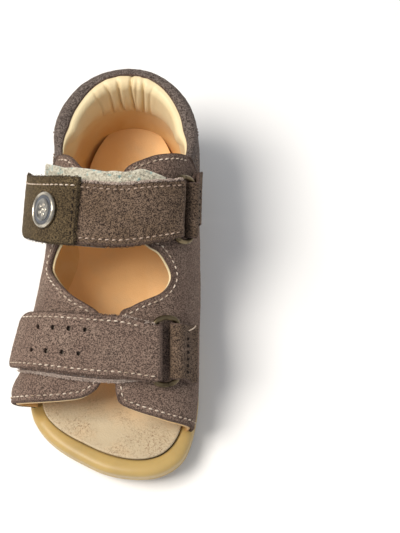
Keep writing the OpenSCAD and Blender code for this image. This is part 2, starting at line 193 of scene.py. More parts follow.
def ripple(points: Array, size: float, seed: float) -> Array:
    """Smooth noise from about -1 to 1 at points, with features of about that size.

    Args:
        points: the points.
        size: size of the features.
        seed: shift that gives another pattern.

    Returns:
        One number for each point.
    """
    flat = points.reshape(-1, 3) / size + seed
    values = [noise.noise(Vector(p)) for p in flat]
    return np.asarray(values).reshape(points.shape[:-1]) * 2


def distance_to(line: Array, points: Array) -> Array:
    """Distance from each point to a line, which is sampled every 0.1 mm.

    Args:
        line: the line's points.
        points: the places to measure from.

    Returns:
        One distance for each place.
    """
    run = lengths(line)
    dense = resample(line, np.linspace(0, run[-1], max(int(run[-1] / 0.1), 2)))
    tree = KDTree(len(dense))
    for i, p in enumerate(dense):
        tree.insert(p, i)
    tree.balance()
    flat = points.reshape(-1, 3)
    return np.array([tree.find(p)[2] for p in flat]).reshape(points.shape[:-1])


# --- Materials ---


def linear(code: str) -> tuple[float, float, float, float]:
    """Linear RGBA of an sRGB hex colour such as "#8a7466"."""
    parts = [int(code[i : i + 2], 16) / 255 for i in (1, 3, 5)]
    return (*[p / 12.92 if p <= 0.04045 else ((p + 0.055) / 1.055) ** 2.4 for p in parts], 1.0)


def sized(where: Socket, size: float, **inputs: float) -> dict:
    """A pattern's inputs at a place, with features of size millimetres."""
    return {"Vector": where, "Scale": 1 / (size * MM), **inputs}


def add(
    tree: Tree, kind: str, inputs: dict | None = None, out: int | str = 0, **settings: Any
) -> Socket | None:
    """Adds a node with its settings, and sets or links its inputs.

    Args:
        tree: the node tree.
        kind: the node's type name, without "ShaderNode".
        inputs: values or sockets by input name or number.
        out: the output to return; a Mix node always mixes colours and gives its colour.
        settings: the node's own properties.

    Returns:
        The output socket.
    """
    made = tree.nodes.new("ShaderNode" + kind)
    if kind == "Mix":
        settings, out = {"data_type": "RGBA"}, 2
    for key, value in settings.items():
        setattr(made, key, value)
    for key, value in (inputs or {}).items():
        if isinstance(value, Socket):
            tree.links.new(value, made.inputs[key])
        else:
            made.inputs[key].default_value = value
    return made.outputs[out] if made.outputs else None


def start_material(name: str) -> tuple[Material, Tree, Socket]:
    """An empty node material, its tree, and the socket of object coordinates in metres.

    Args:
        name: the material's name.

    Returns:
        The material, its tree and the socket.
    """
    material = bpy.data.materials.new(name)
    material.use_nodes = True
    tree = material.node_tree
    tree.nodes.clear()
    return material, tree, add(tree, "TexCoord", out="Object")


def end_material(
    tree: Tree, inputs: dict, height: Socket | None = None, strength: float = 0.0, depth: float = 0.0
) -> None:
    """Puts a Principled shader on the tree's output.

    Args:
        tree: the material's tree.
        inputs: the shader's inputs.
        height: socket of the surface's relief, if it has one.
        strength: how much of the relief shows, from 0 to 1.
        depth: the relief's depth in millimetres.
    """
    if height:
        relief = {"Height": height, "Strength": strength, "Distance": depth * MM}
        inputs = {**inputs, "Normal": add(tree, "Bump", relief)}
    add(tree, "OutputMaterial", {"Surface": add(tree, "BsdfPrincipled", inputs)})


@dataclass(frozen=True)
class BrushedSuede:
    """Cow split, dyed through and buffed to a short nap.

    The nap gives a dull, velvety face: fibre tips catch light one by one over darker roots,
    the pile lies in soft cloudy patches where it was rubbed, and there is no gloss at all.
    """

    name: str
    root: str
    tip: str
    worn: str
    fibre: float = 0.42
    cloud: float = 9.0

    def build(self) -> Material:
        """Builds the material.

        Returns:
            The material.
        """
        material, tree, where = start_material(self.name)
        # Fibre tufts are about 0.1 mm in life; drawn coarser so that they show in the render.
        tuft = add(tree, "TexNoise", sized(where, self.fibre * 2, Detail=3.0, Roughness=0.7))
        speck = add(tree, "TexNoise", sized(where, self.fibre, Detail=1.0, Roughness=0.5))
        cloud = add(tree, "TexNoise", sized(where, self.cloud, Detail=4.0, Roughness=0.6))
        both = add(tree, "Math", {0: tuft, 1: speck}, operation="ADD")
        tips = add(tree, "MapRange", {"Value": both, "From Min": 0.8, "From Max": 1.22})
        rubbed = add(tree, "MapRange", {"Value": cloud, "From Min": 0.42, "From Max": 0.68, "To Max": 0.75})
        nap = add(tree, "Mix", {0: rubbed, 6: linear(self.tip), 7: linear(self.worn)})
        colour = add(tree, "Mix", {0: tips, 6: linear(self.root), 7: nap})
        end_material(
            tree,
            {
                "Base Color": colour, "Roughness": 0.95, "Specular IOR Level": 0.2, "Sheen Weight": 0.35,
                "Sheen Roughness": 0.5, "Sheen Tint": linear(self.worn)
            },
            both, 0.75, 0.3
        )
        return material


@dataclass(frozen=True)
class VegetableTannedLeather:
    """Full-grain calf, undyed and vegetable tanned, with a waxed face.

    It has a fine pored grain and a low waxy gloss. Its colour blends from a start tone to an end tone
    along one axis, with cloudy unevenness: the lining goes darker and more amber towards the bottom of the
    shoe.
    """

    name: str
    start_tone: str
    end_tone: str
    blend_start: float
    blend_end: float
    roughness: float = 0.5
    scuff_front: float | None = None
    scuff_end: float = 0.0
    blend_axis: str = "Z"

    def build(self) -> Material:
        """Builds the material.

        Returns:
            The material.
        """
        material, tree, where = start_material(self.name)
        axes = add(tree, "SeparateXYZ", {"Vector": where}).node.outputs
        blotch = add(tree, "TexNoise", sized(where, 14, Detail=5.0, Roughness=0.55))
        # Blend along one axis between the two tones; on the footbed it is partly painted light, lifting the
        # shaded waist and heel.
        depth = add(
            tree, "MapRange",
            {
                "Value": axes[self.blend_axis], "From Min": self.blend_start * MM,
                "From Max": self.blend_end * MM
            }
        )
        uneven = add(tree, "Math", {0: blotch, 1: 0.9, 2: -0.45}, operation="MULTIPLY_ADD")
        blend_share = add(tree, "Math", {0: depth, 1: uneven}, operation="ADD", use_clamp=True)
        colour = add(tree, "Mix", {0: blend_share, 6: linear(self.start_tone), 7: linear(self.end_tone)})
        pores = add(tree, "TexVoronoi", sized(where, 0.45))
        creases = add(tree, "TexNoise", sized(where, 2.4, Detail=6.0, Roughness=0.65, Distortion=0.8))
        height = add(tree, "Math", {0: creases, 1: 1.2, 2: pores}, operation="MULTIPLY_ADD")
        if self.scuff_front is not None:
            colour = self._scuffed(tree, where, axes["Y"], colour)
        end_material(
            tree,
            {
                "Base Color": colour, "Roughness": self.roughness, "Specular IOR Level": 0.35,
                "Sheen Weight": 0.08
            },
            height, 0.28, 0.2
        )
        return material

    def _scuffed(self, tree: Tree, where: Any, y: Any, colour: Any) -> Any:
        """The colour with the toes' fine dark specks and cracks over it, towards the front.

        Args:
            tree: the material's tree.
            where: socket of object coordinates.
            y: socket of the Y coordinate.
            colour: socket of the clean colour.

        Returns:
            The socket of the scuffed colour.
        """
        toes = add(
            tree, "MapRange", {"Value": y, "From Min": self.scuff_end * MM, "From Max": self.scuff_front * MM}
        )
        patch = add(tree, "TexNoise", sized(where, 11, Detail=2.0))
        worn = add(tree, "MapRange", {"Value": patch, "From Min": 0.36, "From Max": 0.6})
        grit = add(tree, "TexNoise", sized(where, 0.75, Detail=4.0, Roughness=0.8, Distortion=0.4))
        speck = add(tree, "MapRange", {"Value": grit, "From Min": 0.49, "From Max": 0.66})
        cell = add(tree, "TexVoronoi", sized(where, 2.6), feature="DISTANCE_TO_EDGE")
        crack = add(tree, "MapRange", {"Value": cell, "From Min": 0.05, "From Max": 0.0, "To Max": 0.25})
        marks = add(tree, "Math", {0: speck, 1: crack}, operation="MAXIMUM")
        here = add(tree, "Math", {0: toes, 1: worn}, operation="MULTIPLY")
        dirt = add(tree, "Math", {0: marks, 1: here}, operation="MULTIPLY", use_clamp=True)
        return add(tree, "Mix", {0: dirt, 6: colour, 7: linear("#7a5b40")})


@dataclass(frozen=True)
class MouldedRubber:
    """Natural crepe-coloured rubber, compression moulded.

    It is a little translucent and waxy, with a satin skin, faint flow marks and ground-in
    dust low on the wall.
    """

    name: str = "moulded_natural_rubber"
    body: str = "#b99d62"
    dusty: str = "#9a8357"

    def build(self) -> Material:
        """Builds the material.

        Returns:
            The material.
        """
        material, tree, where = start_material(self.name)
        axes = add(tree, "SeparateXYZ", {"Vector": where}).node.outputs
        flow = add(tree, "TexNoise", sized(where, 16, Detail=5.0, Roughness=0.6))
        low = add(tree, "MapRange", {"Value": axes["Z"], "From Min": 5 * MM, "From Max": 0.0, "To Max": 0.55})
        patchy = add(tree, "MapRange", {"Value": flow, "From Min": 0.45, "From Max": 0.75, "To Max": 0.5})
        dust = add(tree, "Math", {0: low, 1: patchy}, operation="ADD", use_clamp=True)
        colour = add(tree, "Mix", {0: dust, 6: linear(self.body), 7: linear(self.dusty)})
        grain = add(tree, "TexNoise", sized(where, 0.7, Detail=4.0))
        end_material(
            tree,
            {
                "Base Color": colour, "Roughness": 0.42, "Specular IOR Level": 0.4, "Subsurface Weight": 0.12,
                "Subsurface Radius": (0.003, 0.0018, 0.0007), "Subsurface Scale": 1.0
            },
            grain, 0.12, 0.2
        )
        return material


@dataclass(frozen=True)
class TwistedThread:
    """Bonded polyester sewing thread: three plies, whose twist shows as fine slanted bands."""

    name: str
    body: str
    grimy: str

    def build(self) -> Material:
        """Builds the material.

        Returns:
            The material.
        """
        material, tree, where = start_material(self.name)
        grime = add(tree, "TexNoise", sized(where, 5, Detail=4.0))
        dull = add(tree, "MapRange", {"Value": grime, "From Min": 0.4, "From Max": 0.68})
        colour = add(tree, "Mix", {0: dull, 6: linear(self.body), 7: linear(self.grimy)})
        ply = add(tree, "TexWave", sized(where, 2.0, Distortion=1.0), out="Fac", bands_direction="DIAGONAL")
        end_material(tree, {"Base Color": colour, "Roughness": 0.7, "Specular IOR Level": 0.2}, ply, 0.4, 0.1)
        return material


@dataclass(frozen=True)
class AntiquedMetal:
    """Die-cast zinc alloy or steel wire, plated, blackened, and rubbed back by tumbling.

    The rubbed metal shows warm and half bright in cloudy patches, and the dark patina stays
    in the hollows, where it is almost matt.
    """

    name: str
    bright: str
    patina: str
    wear: float = 0.5

    def build(self) -> Material:
        """Builds the material.

        Returns:
            The material.
        """
        material, tree, where = start_material(self.name)
        rub = add(tree, "TexNoise", sized(where, 3.2, Detail=6.0, Roughness=0.6))
        dark = add(
            tree, "MapRange",
            {"Value": rub, "From Min": 1 - self.wear - 0.12, "From Max": 1 - self.wear + 0.16}
        )
        colour = add(tree, "Mix", {0: dark, 6: linear(self.bright), 7: linear(self.patina)})
        rough = add(tree, "MapRange", {"Value": dark, "To Min": 0.32, "To Max": 0.62})
        nicks = add(tree, "TexNoise", sized(where, 0.6, Detail=3.0))
        end_material(tree, {"Base Color": colour, "Metallic": 1.0, "Roughness": rough}, nicks, 0.12, 0.1)
        return material


@dataclass(frozen=True)
class BakedEnamel:
    """Stoved enamel run into the badge's recess: dark, glossy, with a faint cloudy depth."""

    name: str = "baked_enamel"
    deep: str = "#10141d"
    cloudy: str = "#2d3646"

    def build(self) -> Material:
        """Builds the material.

        Returns:
            The material.
        """
        material, tree, where = start_material(self.name)
        cloud = add(tree, "TexNoise", sized(where, 4, Detail=3.0))
        pale = add(tree, "MapRange", {"Value": cloud, "From Min": 0.4, "From Max": 0.7})
        colour = add(tree, "Mix", {0: pale, 6: linear(self.deep), 7: linear(self.cloudy)})
        end_material(
            tree, {"Base Color": colour, "Roughness": 0.22, "Coat Weight": 0.6, "Coat Roughness": 0.08}
        )
        return material


@dataclass(frozen=True)
class WovenTape:
    """Knitted nylon touch tape, loop or hook side: a dull, fuzzy face with lint caught in it."""

    name: str
    base: str
    shade: str
    lint: str
    knit: float = 0.7

    def build(self) -> Material:
        """Builds the material.

        Returns:
            The material.
        """
        material, tree, where = start_material(self.name)
        fuzz = add(tree, "TexNoise", sized(where, self.knit * 1.6, Detail=4.0, Roughness=0.75))
        spots = add(tree, "TexNoise", sized(where, 2.2, Detail=3.0))
        dark = add(tree, "MapRange", {"Value": fuzz, "From Min": 0.45, "From Max": 0.72})
        caught = add(tree, "MapRange", {"Value": spots, "From Min": 0.57, "From Max": 0.68, "To Max": 0.7})
        face = add(tree, "Mix", {0: dark, 6: linear(self.base), 7: linear(self.shade)})
        colour = add(tree, "Mix", {0: caught, 6: face, 7: linear(self.lint)})
        end_material(tree, {"Base Color": colour, "Roughness": 0.9, "Sheen Weight": 0.4}, fuzz, 0.8, 0.3)
        return material


@dataclass(frozen=True)
class PressedFibre:
    """Inner stock that is mostly unseen: fibre board, stiffener or foam, mottled and matt."""

    name: str
    light: str
    dark: str
    grain: float

    def build(self) -> Material:
        """Builds the material.

        Returns:
            The material.
        """
        material, tree, where = start_material(self.name)
        fleck = add(tree, "TexNoise", sized(where, self.grain, Detail=5.0, Roughness=0.7))
        mottled = add(tree, "MapRange", {"Value": fleck, "From Min": 0.35, "From Max": 0.65})
        colour = add(tree, "Mix", {0: mottled, 6: linear(self.light), 7: linear(self.dark)})
        end_material(tree, {"Base Color": colour, "Roughness": 0.85}, fleck, 0.4, 0.2)
        return material


class Finishes:
    """Every finish of the sandal, built once."""

    def __init__(self) -> None:
        """Builds the materials."""
        self.suede = BrushedSuede("brushed_suede_taupe", "#453832", "#8a7467", "#9c8778").build()
        self.deep_suede = BrushedSuede("brushed_suede_deep", "#2c221d", "#75614f", "#8a7565").build()
        self.grey_suede = BrushedSuede("brushed_suede_grey", "#39302c", "#776b64", "#897d75").build()
        self.patch = BrushedSuede("brushed_suede_olive", "#241d14", "#5d4e38", "#756549").build()
        # Pale cut edge of the split, brightened past its own tone as painted light so that it reads pale in
        # the shaded crevice under the strap's flap.
        self.cut_edge_painted_light = BrushedSuede("cut_leather_edge_painted_light", "#a08d82", "#d9c6b8", "#e6d8cb", fibre=0.3).build()
        # The edge finishes are darker than their faces: partly the rolled nap, partly painted shade on the
        # cut and rolled edges.
        self.edge = BrushedSuede("brushed_suede_edge_shaded", "#362a25", "#6d5a50", "#7d695e", fibre=0.3).build()
        self.patch_edge_shade = BrushedSuede(
            "brushed_suede_olive_edge_shaded", "#1d1812", "#463b2c", "#574a38", fibre=0.3
        ).build()
        self.lining = VegetableTannedLeather("waxed_lining_leather", "#e8d6ac", "#d6a666", 46, 12).build()
        # The footbed goes from a darker, greyer toe to a lighter amber waist and heel: partly the leather's
        # own tones, partly painted light for the shaded waist.
        self.footbed = VegetableTannedLeather(
            "waxed_footbed_leather", "#c0b092", "#efc187", -54, -30, 0.55, scuff_front=-56, scuff_end=-38,
            blend_axis="Y"
        ).build()
        self.rubber = MouldedRubber().build()
        self.thread = TwistedThread("bonded_thread_cream", "#d3c3b2", "#97836f").build()
        self.worn_thread = TwistedThread("bonded_thread_worn", "#b7a190", "#7b685a").build()
        self.dull_thread = TwistedThread("bonded_thread_taupe", "#8d7c70", "#65564c").build()
        # Near-black thread; on the ring tabs it is painted shade, standing for shaded stitch holes.
        self.dark_thread_and_hole_shade = TwistedThread("bonded_thread_brown_hole_shade", "#241a14", "#140e0a").build()
        self.brass = AntiquedMetal("antiqued_brass_wire", "#76684f", "#2c251e", wear=0.42).build()
        self.silver = AntiquedMetal("antiqued_silver_casting", "#c9c2b4", "#5c5850", wear=0.42).build()
        self.dark_silver = AntiquedMetal("antiqued_silver_dull", "#93918c", "#2c2c2d", wear=0.42).build()
        self.enamel = BakedEnamel().build()
        self.loop = WovenTape("brushed_loop_tape", "#cdc8b6", "#8f8875", "#6d9ea0").build()
        self.hook = WovenTape("moulded_hook_tape", "#5a5148", "#332d28", "#8a8070").build()
        self.board = PressedFibre("pressed_fibre_board", "#a88d66", "#86694a", 1.2).build()
        self.foam = PressedFibre("latex_foam", "#e6dfc9", "#cfc5a8", 0.8).build()
        self.counter = PressedFibre("thermoformed_counter", "#cfc7b4", "#b3a88f", 1.0).build()


# --- The sandal's form, as the CAD frame has it ---


@dataclass(frozen=True)
class UpperForm:
    """Curved surface that the whole upper lies on.

    A station runs along the foot from the toe (negative) to the back of the heel, and v runs
    up the wall from the sole (0) to the ridge over the foot (1).
    """

    feather_height: float = 7.3
    spring_start: float = -30.0
    spring_radius: float = 169.0
    heel_centre_y: float = 40.0
    heel_turn_radius: float = 29.0
    tuck_height: float = 18.0
    heel_back_bulge: float = 32.4
    heel_back_feather: float = 31.4
    front_flare: float = 3.0
    flare_start: float = -36.5
    lateral_fullest: tuple = (
        (-76, 27), (-64, 33.5), (-54, 37.2), (-44, 36.6), (-26, 34.4), (-12, 32), (0, 30.2), (12, 29.4),
        (24, 28.8), (40, 27.4)
    )
    medial_fullest: tuple = (
        (-76, 25), (-64, 31.5), (-54, 33.6), (-38, 33.2), (-20, 32.2), (0, 31), (12, 30), (24, 28.8), (40, 28)
    )
    lateral_feather: tuple = (
        (-76, 22), (-60, 28.6), (-48, 30.6), (-36, 30.6), (-20, 27.4), (0, 21.8), (20, 20), (40, 21)
    )
    medial_feather: tuple = (
        (-76, 20), (-60, 28.5), (-48, 30), (-36, 30), (-20, 28), (0, 24.4), (20, 21.8), (40, 22)
    )
    ridge_x: tuple = ((-76, 6), (-58, 3.5), (-40, 1), (-20, 0), (0, -0.3), (20, 0), (40, 0.5))
    ridge_height: tuple = (
        (-76, 22), (-60, 30), (-46, 37), (-34, 43.5), (-20, 51), (-6, 57.5), (8, 62.5), (18, 65.5),
        (28, 68.5), (36, 75), (46, 98), (60, 112), (86, 120)
    )
    squareness: tuple = ((-60, 2.5), (-20, 2.5), (0, 2.6), (20, 2.9), (34, 3.4), (46, 3.6))

    def spring(self, y: Array) -> Array:
        """Lift of the sole's ground side at y."""
        d = np.minimum(y - self.spring_start, 0)
        return self.spring_radius - np.sqrt(self.spring_radius**2 - d**2)

    def turn(self, station: Array) -> Array:
        """Angle turned round the heel at a station, in radians."""
        return np.clip((station - self.heel_centre_y) / self.heel_turn_radius, 0, math.pi / 2)

    def section(self, side: Array, station: Array) -> tuple[Array, ...]:
        """Ridge x, fullest half width, feather half width, base, height and squareness.

        Args:
            side: signs of X.
            station: stations along the foot.

        Returns:
            Those six values.
        """
        y = np.minimum(station, self.heel_centre_y)
        x = along(self.ridge_x, y)
        back = np.sin(self.turn(station)) ** 2
        inner = side > 0
        full = np.where(inner, along(self.medial_fullest, y) - x, along(self.lateral_fullest, y) + x)
        feather = np.where(inner, along(self.medial_feather, y) - x, along(self.lateral_feather, y) + x)
        base = self.feather_height + self.spring(y)
        return (
            x, mix(full, self.heel_back_bulge, back), mix(feather, self.heel_back_feather, back), base,
            along(self.ridge_height, station) - base, along(self.squareness, station)
        )

    def profile(self, cut: tuple[Array, ...], v: Array) -> tuple[Array, Array]:
        """Distance from the ridge line's plane, and height above the base, at v of a section.

        Args:
            cut: values of a section.
            v: places up the wall.

        Returns:
            Distances and heights.
        """
        _, full, feather, _, height, square = cut
        c = np.maximum(np.cos(v * math.pi / 2), 0)
        s = np.sin(v * math.pi / 2)
        q = (c**square + s**square) ** (1 / square)
        z = height * s / q
        tuck = np.maximum(0, 1 - z / self.tuck_height) ** 1.6
        return full * c / q - (full - feather) * tuck, z

    def v_at(self, side: Array, station: Array, z: Array) -> Array:
        """The v at which the wall reaches height z.

        Args:
            side: signs of X.
            station: stations along the foot.
            z: heights.

        Returns:
            Places up the wall.
        """
        _, _, _, base, height, square = self.section(side, station)
        t = np.clip((z - base) / height, 0, 0.99999) ** square
        return np.arctan((t / (1 - t)) ** (1 / square)) / (math.pi / 2)

    def wall(self, side: Any, station: Any, v: Any, off: Any = 0.0) -> Array:
        """Points of the outer face, moved out along the section's normal by off.

        Args:
            side: signs of X.
            station: stations along the foot.
            v: places up the wall.
            off: distances out from the face.

        Returns:
            The points.
        """
        side, station, v, off = np.broadcast_arrays(*(np.asarray(x, float) for x in (side, station, v, off)))
        cut = self.section(side, station)
        # The lateral side's front edge has come to stand away from the foot.
        flare = self.front_flare * ease((self.flare_start - station) / 10)
        off = off + np.where(side < 0, flare, 0.0) * ease(v / 0.12) * ease((0.8 - v) / 0.35)
        r, z = self.profile(cut, v)
        r_up, z_up = self.profile(cut, np.minimum(v + 0.002, 1))
        r_down, z_down = self.profile(cut, np.maximum(v - 0.002, 0))
        size = np.hypot(r_up - r_down, z_up - z_down)
        r = r + (z_up - z_down) / size * off
        z = z - (r_up - r_down) / size * off
        phi = self.turn(station)
        return np.stack(
            [
                cut[0] + side * r * np.cos(phi), np.minimum(station, self.heel_centre_y) + r * np.sin(phi),
                cut[3] + z
            ],
            -1
        )


@dataclass
class SeamRow:
    """Line on a face that a row of stitches follows, with the face's normals."""

    points: Array
    normals: Array

    @classmethod
    def on(cls, surface: Surface, path: Array, off: float) -> "SeamRow":
        """The row along a path of surface parameters, at off from the surface.

        Args:
            surface: gives points for parameters and offsets.
            path: parameters along the row.
            off: distance of the row from the surface.

        Returns:
            The row.
        """
        level = np.full(len(path), off)
        points = surface(path, level)
        return cls(points, unit(surface(path, level + 1.0) - points))


def inset_path(surface: Surface, path: Array, inset: float, towards: Sequence[float]) -> Array:
    """A path of surface parameters moved sideways over the surface.

    Args:
        surface: gives points for parameters and offsets.
        path: the edge's parameters.
        inset: distance to move, in millimetres.
        towards: parameters of a point on the side to move to.

    Returns:
        The moved path, without the stretches that fold over themselves.
    """
    flat = np.zeros(len(path))
    small = 1e-3
    here = surface(path, flat)
    du = (surface(path + [small, 0], flat) - here) / small
    dv = (surface(path + [0, small], flat) - here) / small
    across = unit(np.cross(unit(np.cross(du, dv)), unit(np.gradient(here, axis=0))))
    a, b, c = (du * du).sum(1), (du * dv).sum(1), (dv * dv).sum(1)
    p, q = (du * across).sum(1), (dv * across).sum(1)
    shift = np.stack([c * p - b * q, a * q - b * p], -1) / (a * c - b * b)[:, None] * inset
    target = surface(np.asarray([towards], float), np.zeros(1))[0]
    gains = [np.linalg.norm(surface(path + s * shift, flat) - target, axis=1).mean() for s in (1, -1)]
    moved = path + shift * (1 if gains[0] < gains[1] else -1)
    clear = distance_to(here, surface(moved, flat)) > inset * 0.93
    return moved[clear]


# --- Mesh builders ---


def mesh_object(
    name: str, vertices: Array, faces: Sequence, materials: Sequence, picks: Any = None, sharp: float = 50.0
) -> Piece:
    """Makes a welded, smooth-shaded object with outward normals.

    Args:
        name: the piece's name.
        vertices: points in millimetres.
        faces: lists of vertex numbers.
        materials: the materials, in slot order.
        picks: material slot of each face, or None for the first.
        sharp: edges that bend by more than these degrees stay crisp.

    Returns:
        The object, linked to the scene.
    """
    mesh = bpy.data.meshes.new(name)
    mesh.from_pydata((np.asarray(vertices) * MM).tolist(), [], [list(map(int, f)) for f in faces])
    for material in materials:
        mesh.materials.append(material)
    if picks is not None:
        mesh.polygons.foreach_set("material_index", np.asarray(picks, np.int32))
    work = bmesh.new()
    work.from_mesh(mesh)
    bmesh.ops.remove_doubles(work, verts=work.verts, dist=2e-6)
    bmesh.ops.recalc_face_normals(work, faces=work.faces)
    work.to_mesh(mesh)
    work.free()
    mesh.shade_smooth()
    mesh.set_sharp_from_angle(angle=math.radians(sharp))
    made = bpy.data.objects.new(name, mesh)
    bpy.context.scene.collection.objects.link(made)
    LOG.info("%s: %d faces", name, len(mesh.polygons))
    return made


def grid_faces(n: int, m: int) -> Array:
    """Quads of an n by m grid of points that is stored row by row.

    Args:
        n: number of rows.
        m: number of columns.

    Returns:
        One row of four point numbers for each quad.
    """
    i, j = np.meshgrid(np.arange(n - 1), np.arange(m - 1), indexing="ij")
    q = (i * m + j).ravel()
    return np.stack([q, q + m, q + m + 1, q + 1], -1)


def ring_faces(count: int, around: int, joined: bool = False, capped: bool = False) -> list[list[int]]:
    """Quads between rings of points that are stored ring by ring.

    Args:
        count: the number of rings.
        around: points in each ring.
        joined: whether the last ring meets the first.
        capped: whether the first and last rings are filled.

    Returns:
        Lists of point numbers.
    """
    faces = []
    for k in range(count if joined else count - 1):
        j = (k + 1) % count
        for a in range(around):
            b = (a + 1) % around
            faces.append([k * around + a, k * around + b, j * around + b, j * around + a])
    if capped:
        faces.append(list(range(around))[::-1])
        faces.append([(count - 1) * around + a for a in range(around)])
    return faces


def edge_lines(grid: Array) -> dict[Edge, Array]:
    """The four edges of a grid of points, by name."""
    return {Edge.START: grid[0], Edge.END: grid[-1], Edge.LOW: grid[:, 0], Edge.HIGH: grid[:, -1]}


@dataclass(frozen=True)
class Texture:
    """Shape of a sheet's face: how rough and how wavy it is, and its seams' grooves."""

    nap: float = 0.07
    wave: float = 0.12
    groove: float = 0.2
    groove_width: float = 0.55


SUEDE_FACE = Texture()
LINING_FACE = Texture(nap=0.015, wave=0.1)


def leather_sheet(
    name: str, place: Callable[[Array], Array], shape: tuple[int, int], thickness: float, materials: Sequence,
    rounded: Sequence[Edge] = ALL_EDGES, texture: Texture = SUEDE_FACE, rows: Sequence[SeamRow] = ()
) -> Piece:
    """Closed sheet of leather with rounded cut edges, a rough face and pulled-in seams.

    Args:
        name: the piece's name.
        place: gives the grid's points at offsets from the middle of the sheet.
        shape: number of rows and columns.
        thickness: the leather's thickness.
        materials: the face's material, and one for the cut edge if it differs.
        rounded: edges that are cut and rounded; the others end flat.
        texture: the face's roughness.
        rows: seams that pull the face in.

    Returns:
        The object.
    """
    middle = place(np.zeros(shape))
    lines = edge_lines(middle)
    inward = distance_to(np.concatenate([lines[e] for e in rounded[:1]]), middle)
    for edge in rounded[1:]:
        inward = np.minimum(inward, distance_to(lines[edge], middle))
    half = thickness / 2
    reach = np.minimum(inward / half, 1)
    rim = half * np.sqrt(np.maximum(1 - (1 - reach) ** 2, 0))
    wave = texture.wave * ripple(middle, 11.0, 7.7)
    face = texture.nap * ripple(middle, 0.9, 3.1) + wave
    for row in rows:
        away = np.maximum(distance_to(row.points, middle) - half, 0)
        face = face - texture.groove * np.exp(-((away / texture.groove_width) ** 2))
    outer = place(rim + face * reach)
    inner = place(-rim + wave * reach)
    n, m = shape
    quads = grid_faces(n, m)
    q = np.arange(n * m).reshape(n, m)
    faces = [quads, quads[:, ::-1] + n * m]
    for line in (q[0], q[-1], q[:, 0], q[:, -1]):
        faces.append(np.stack([line[:-1], line[1:], line[1:] + n * m, line[:-1] + n * m], -1))
    faces = np.concatenate(faces)
    picks = None
    if len(materials) > 1:
        cut = np.concatenate([reach.ravel(), reach.ravel()])
        picks = (cut[faces].mean(1) < 0.8).astype(int)
    return mesh_object(
        name, np.concatenate([outer.reshape(-1, 3), inner.reshape(-1, 3)]), faces, materials, picks
    )


@dataclass(frozen=True)
class Stitching:
    """Lockstitch seam: thread thickness, visible stitch length and pitch, and its slant."""

    thread: float = 0.56
    stitch: float = 1.5
    pitch: float = 2.4
    slant: float = 6.0
    rings: int = 7
    around: int = 8

    def template(self) -> tuple[Array, list]:
        """Vertices and faces of one stitch, along X with Z outwards.

        Returns:
            The vertices and the faces.
        """
        s = np.linspace(-1, 1, self.rings)
        radius = self.thread / 2 * np.sqrt(np.maximum(1 - np.abs(s) ** 3, 0.12))
        lift = 0.06 - 0.42 * s**4
        angle = np.arange(self.around) / self.around * 2 * math.pi
        rings = [
            np.stack(
                [np.full(self.around, x * self.stitch / 2), r * np.cos(angle), h + r * np.sin(angle)], -1
            )
            for x, r, h in zip(s, radius, lift)
        ]
        return np.concatenate(rings), ring_faces(self.rings, self.around, capped=True)

    def sew(self, name: str, rows: Sequence[SeamRow], material: Material) -> Piece:
        """Stitches along the rows, as one object.

        Args:
            name: the piece's name.
            rows: the lines to sew along.
            material: the thread's material.

        Returns:
            The object.
        """
        shape, shape_faces = self.template()
        chance = np.random.default_rng(SEED)
        vertices, faces = [], []
        for row in rows:
            run = lengths(row.points)
            at = np.arange(self.pitch / 2, run[-1] - self.pitch / 3, self.pitch)
            here, ahead = resample(row.points, at), resample(row.points, np.minimum(at + 0.4, run[-1]))
            behind = resample(row.points, at - 0.4)
            out = unit(read_rows(row.normals, run, at))
            forward = unit(ahead - behind)
            sideways = unit(np.cross(out, forward))
            tilt = np.radians(self.slant + chance.normal(0, 3.0, len(at)))[:, None]
            lean = forward * np.cos(tilt) + sideways * np.sin(tilt)
            cross = unit(np.cross(out, lean))
            size = chance.normal(1, 0.06, len(at))
            for k in range(len(at)):
                base = len(vertices) * len(shape)
                vertices.append(
                    here[k] + shape[:, :1] * lean[k] * size[k] + shape[:, 1:2] * cross[k]
                    + shape[:, 2:] * out[k]
                )
                faces.extend([[i + base for i in f] for f in shape_faces])
        return mesh_object(name, np.concatenate(vertices), faces, [material])


def tube(
    name: str, path: Array, radius: Any, material: Material, around: int = 14, closed: bool = False,
    flat: Array | None = None
) -> Piece:
    """Round tube along a path.

    Args:
        name: the piece's name.
        path: the centreline's points.
        radius: one radius, or one per point.
        material: its material.
        around: sides of the tube.
        closed: whether the path joins itself.
        flat: a direction that the rings' second axis keeps, or None for any.

    Returns:
        The object.
    """
    count = len(path)
    if closed:
        forward = unit(np.roll(path, -1, 0) - np.roll(path, 1, 0))
    else:
        forward = unit(np.gradient(path, axis=0))
    guide = np.array([0.0, 0.0, 1.0]) if flat is None else flat
    side = unit(np.cross(forward, guide))
    up = unit(np.cross(side, forward))
    angle = np.arange(around) / around * 2 * math.pi
    radii = np.broadcast_to(radius, (count,))
    spokes = side[:, None] * np.cos(angle)[:, None] + up[:, None] * np.sin(angle)[:, None]
    rings = path[:, None] + radii[:, None, None] * spokes
    faces = ring_faces(count, around, joined=closed, capped=not closed)
    return mesh_object(name, rings.reshape(-1, 3), faces, [material])


